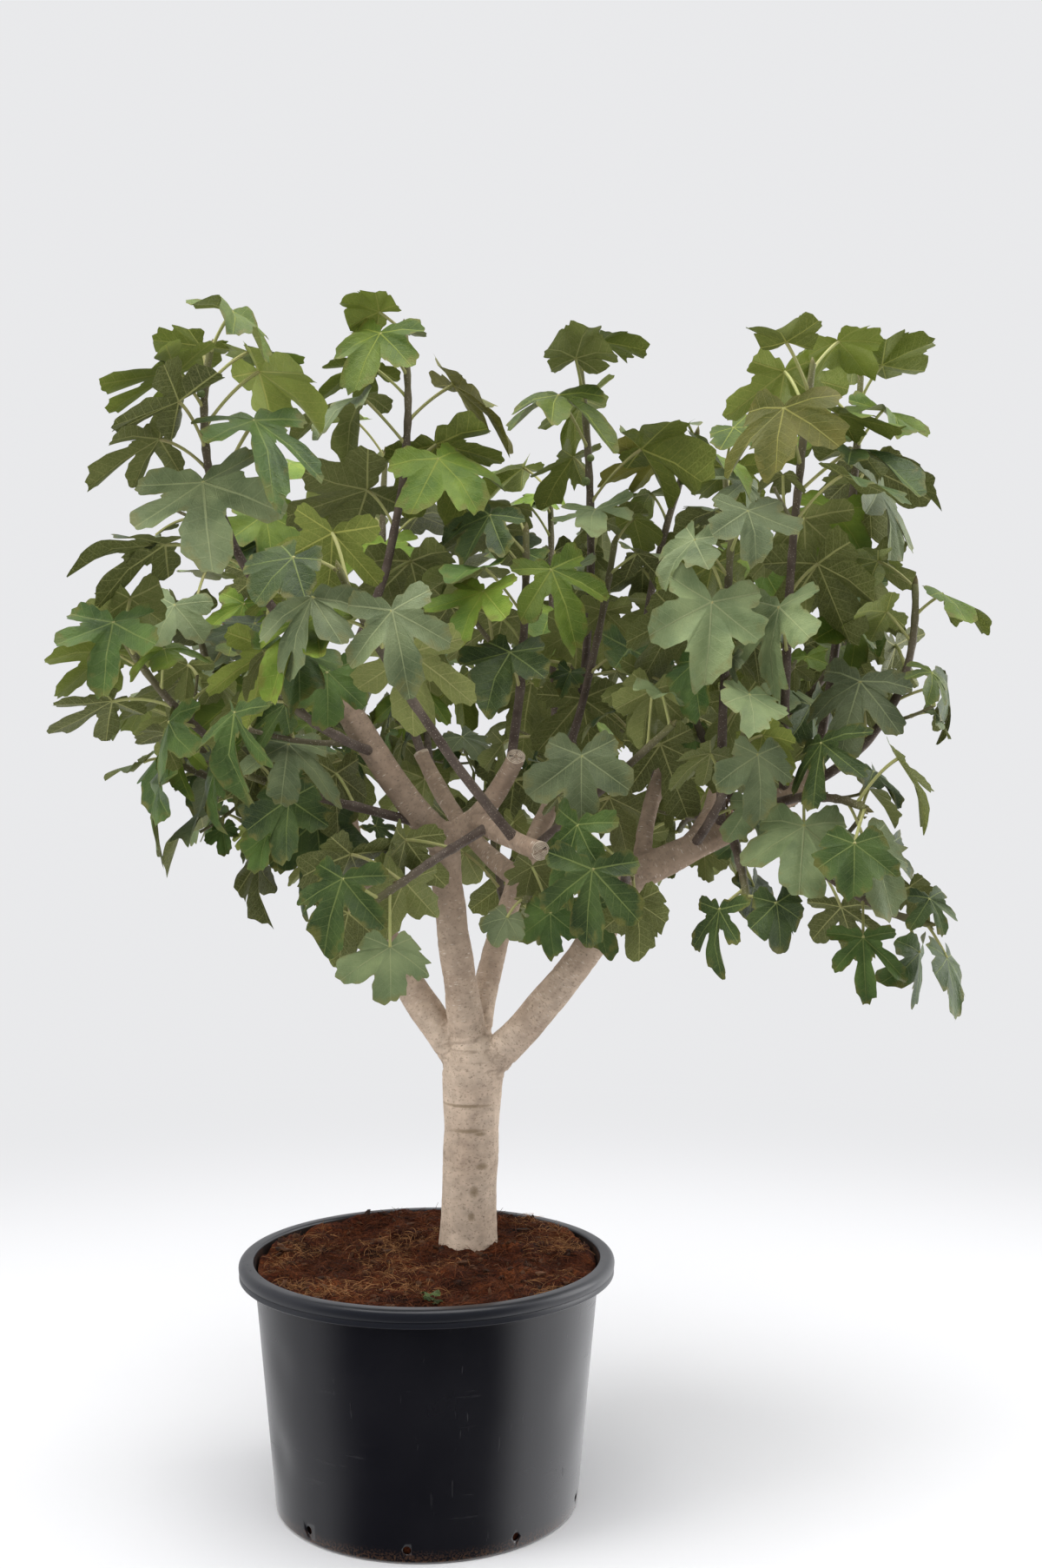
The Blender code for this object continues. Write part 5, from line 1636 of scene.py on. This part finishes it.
# How much of the net, the ribs and the main veins shows above and below, and how far leaves differ
VEINS_OVER = (0.08, 0.28, 0.62)
VEINS_BELOW = (0.22, 0.55, 0.90)
TINTS_OVER = ((0.0, 0.54), (1.0, 1.60))
TINTS_UNDER = ((0.0, 0.66), (1.0, 1.30))
UNDER = (0.170, 0.190, 0.055)
VEIN_UNDER = (0.40, 0.40, 0.15)
LEAF_COLOURS = {
    # Dusty leaves: their grey-blue upper side is partly dust and partly a painted sheen of the sky
    "dusty": ((0.054, 0.084, 0.029), (0.130, 0.170, 0.064), UNDER, (0.34, 0.38, 0.19),
              VEIN_UNDER, 0.24, 0.52),
    "green": ((0.018, 0.042, 0.007), (0.054, 0.098, 0.015), (0.140, 0.160, 0.044), (0.22, 0.27, 0.08),
              VEIN_UNDER, 0.06, 0.46),
    # Fresh leaves: young, and brightened further as painted light from above
    "fresh": ((0.060, 0.110, 0.010), (0.150, 0.212, 0.026), (0.195, 0.238, 0.044), (0.29, 0.33, 0.06),
              (0.40, 0.41, 0.10), 0.02, 0.50),
    "yellow": ((0.100, 0.118, 0.014), (0.190, 0.182, 0.032), (0.215, 0.205, 0.042), (0.36, 0.34, 0.09),
               (0.44, 0.40, 0.12), 0.02, 0.55),
}
# The forms that are dealt out, and how often one of the small leaves has withered
FORM_DRAW = ("deep", "deep", "broad", "broad", "waisted", "three", "three", "narrow")
WITHERED_EVERY = 17
SPROUT_PLACE = (0.022, -0.250)
SPROUT_LEAVES = 6
# Where figs have set: the shoot and the share of it
FIGS = (("left_tall", 0.90), ("left_tall", 0.86), ("rear_tall", 0.80), ("rear_tall", 0.75),
        ("right_rear_tall", 0.88), ("right_tall", 0.92), ("back_left_tall", 0.85), ("back_tall", 0.80),
        ("back_tall", 0.90), ("back_right_tall", 0.83), ("middle_tall", 0.93))
FIG_COLOURS = ((0.35, (0.075, 0.120, 0.030)), (0.65, (0.150, 0.190, 0.055)))
FIG_SPECK = (0.34, 0.36, 0.17)
WITHERED_COLOURS = ((0.35, (0.045, 0.022, 0.010)), (0.65, (0.170, 0.090, 0.035)))
STALK_COLOURS = ((0.33, 0.33, 0.12), (0.42, 0.36, 0.17), (0.38, 0.40, 0.14))
BUD_COLOURS = ((0.10, 0.075, 0.035), (0.19, 0.17, 0.06), (0.22, 0.22, 0.08))
# Buds: length and radius
END_BUD = (0.021, 0.0062)
SIDE_BUD = (0.009, 0.0034)
# Weights of dusty, green, fresh and yellow leaves up to each height; the fresh ones, brightened as painted top
# light, weigh most near the top
LEAF_MIX = ((1.35, (20, 78, 2, 0)), (1.70, (36, 54, 9, 1)), (2.12, (34, 38, 26, 2)), (9.99, (12, 16, 68, 4)))
# Leaves of a known colour, by shoot and place on it
LEAF_PICKS = {("middle_tall", 5): "yellow", ("front_arching", 3): "dusty", ("right_middle", 2): "dusty"}


def leaf_colour(height, rng):
    for top, weights in LEAF_MIX:
        if height < top:
            return rng.choices(list(LEAF_COLOURS), weights)[0]


def foliage_piece(name, copies, materials, sharp=60):
    piece = joined_piece(name, copies, materials, sharp)
    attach(piece, "root")
    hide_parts(*["foliage_" + shoot.name for shoot in SHOOTS])


def bud_shape(length, radius):
    """A pointed bud: a cone of two rings, fuller below its middle."""
    points = [Vector((0, 0, length * share)) for share in (0, 0.25, 0.6, 1.0)]
    radii = [radius * share for share in (0.8, 1, 0.7, 0.08)]
    return array_shape(tube(points, radii, [Vector((0, 0, 1))] * 4, 6))


def laid(shape, place, heading, size):
    """A shape's points, turned so that its Z runs along a heading."""
    turn = np.array(heading.to_track_quat("Z", "Y").to_matrix())
    return shape.points * size @ turn.T + np.array(place)


def build_buds(leaves):
    """A pointed bud ends every shoot, and a small one sits above the foot of each leaf of the shoots and their
    side twigs.
    """
    end_bud = bud_shape(*END_BUD)
    side_bud = bud_shape(*SIDE_BUD)
    rng = random.Random("buds")
    copies = []
    for shoot in SHOOTS:
        start, tip, bow = fig.stem(shoot)
        heading = path_heading(start, tip, bow, 1.0)
        lean = Vector((rng.uniform(-0.2, 0.2), rng.uniform(-0.2, 0.2), 0))
        points = laid(end_bud, tip - heading * 0.003, (heading + lean).normalized(), rng.uniform(0.8, 1.1))
        copies.append((end_bud, points, rng.random()))
    for leaf, shoot, share, _ in leaves:
        heading = path_heading(*fig.stem(shoot), share)
        outward = (leaf.joint - leaf.root).normalized()
        place = leaf.root + heading * 0.008 + (outward - heading * outward.dot(heading)).normalized() * 0.006
        points = laid(side_bud, place, (heading * 1.3 + outward).normalized(), rng.uniform(0.7, 1.2))
        copies.append((side_bud, points, rng.random()))
    foliage_piece("buds", copies, [cane_material("bud scales", *BUD_COLOURS)])


def fig_shape():
    """A small green fig: a ball drawn out into a neck at its stalk, with a closed eye at its end."""
    bm = bmesh.new()
    bmesh.ops.create_uvsphere(bm, u_segments=12, v_segments=9, radius=1.0)
    for vert in bm.verts:
        neck = max(-vert.co.z, 0)
        vert.co.x *= 1 - 0.45 * neck ** 2
        vert.co.y *= 1 - 0.45 * neck ** 2
        vert.co.z = vert.co.z * (1 + 0.35 * neck) + 1.0 - (0.14 if vert.co.z > 0.97 else 0)
    return array_shape(bm)


def fig_material():
    material, tree, shader = plain_material("green fig", (0.10, 0.16, 0.04), 0.5)
    noisy = speckle(tree, object_place(tree), 60.0, 420.0)
    specks = spread(tree, noisy["Grain"], 0.60, 0.70, 0.0, 0.6)
    colour = mix(tree, specks, ramp(tree, noisy["Mottle"], *FIG_COLOURS), FIG_SPECK)
    paint(tree, shader, colour, noisy["Grain"], 0.3, 0.0006)
    return material


def build_figs():
    shape = fig_shape()
    rng = random.Random("figs")
    copies = []
    for name, share in FIGS:
        shoot = next(row for row in SHOOTS if row.name == name)
        start, tip, bow = fig.stem(shoot)
        heading = path_heading(start, tip, bow, share)
        facing = Vector((rng.uniform(-0.8, 0.8), -1 if "back" not in name else 1, 0.3))
        radial = (facing - heading * facing.dot(heading)).normalized()
        place = path_point(start, tip, bow, share) + radial * 0.005
        points = laid(shape, place, (radial + heading * 0.6).normalized(), rng.uniform(0.0075, 0.0100))
        copies.append((shape, points, rng.random()))
    foliage_piece("green_figs", copies, [fig_material()])


def withered_material():
    material, tree, shader = plain_material("withered leaf", (0.10, 0.05, 0.02), 0.8)
    noisy = speckle(tree, object_place(tree), 40.0, 260.0)
    paint(tree, shader, ramp(tree, noisy["Mottle"], *WITHERED_COLOURS), noisy["Grain"], 0.6, 0.0015)
    return material


def withered_points(form, leaf):
    """A dead leaf rolls up into a loose tube round its midrib and shrinks."""
    x, y = form.shape.points[:, 0], form.shape.points[:, 1]
    roll = y * 6.5
    height = (1 - np.cos(roll)) * 0.15 - 0.3 * x ** 2
    return in_leaf(leaf, leaf.size * 0.6, x, np.sin(roll) * 0.15, height)


def build_sprout(form):
    """A seedling of a few small leaves that has come up in the soil in front."""
    rng = random.Random("sprout")
    foot = Vector((*SPROUT_PLACE, 0))
    foot.z = soil_surface(foot) + 0.002
    copies = []
    for index in range(SPROUT_LEAVES):
        level = Matrix.Rotation(index * GOLDEN_TURN, 3, "Z") @ Vector((1, 0, 0))
        joint = foot + level * 0.006 + Vector((0, 0, 0.004 * index + 0.004))
        forward = (level + Vector((0, 0, rng.uniform(0.0, 0.7)))).normalized()
        side = Vector((0, 0, 1)).cross(level).normalized()
        leaf = Leaf(foot, joint, forward, side, forward.cross(side).normalized(), rng.uniform(0.016, 0.024))
        copies.append((form.shape, blade_points(form, leaf, rng), rng.random()))
    sprout = joined_piece("sprout", copies, [leaf_material("sprout leaf", *LEAF_COLOURS["green"])], 60)
    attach(sprout, "root")


def build_foliage():
    forms = {name: [leaf_form(name, variant) for variant in range(FORM_VARIANTS)] for name in LEAF_FORMS}
    blades = {name: [] for name in LEAF_COLOURS}
    stalks = []
    dead = []
    leaves = grown_leaves()
    twigs, small = fine_growth()
    rng = random.Random("leaves")
    rows = [(leaf, share, (shoot.name, index)) for leaf, shoot, share, index in leaves]
    rows += [(leaf, 0.5, None) for leaf in small]
    for number, (leaf, share, key) in enumerate(rows):
        form = rng.choice(forms["young" if share > YOUNG_FROM else rng.choice(FORM_DRAW)])
        colour = LEAF_PICKS.get(key, leaf_colour(leaf.joint.z, rng))
        if number > len(leaves) and number % WITHERED_EVERY == 0:
            dead.append((form.shape, withered_points(form, leaf), rng.random()))
        else:
            blades[colour].append((form.shape, blade_points(form, leaf, rng), rng.random()))
        shape = petiole(leaf, rng)
        stalks.append((shape, shape.points, rng.random()))
    for name, copies in blades.items():
        foliage_piece("leaves_" + name, copies, [leaf_material("leaf " + name, *LEAF_COLOURS[name])])
    foliage_piece("leaves_withered", dead, [withered_material()])
    foliage_piece("leaf_stalks", stalks, [cane_material("leaf stalk", *STALK_COLOURS)])
    foliage_piece("canes", build_canes(twigs), [cane_material("young bark", *YOUNG_BARK)])
    build_buds(leaves)
    build_figs()
    build_sprout(forms["young"][0])


build_foliage()
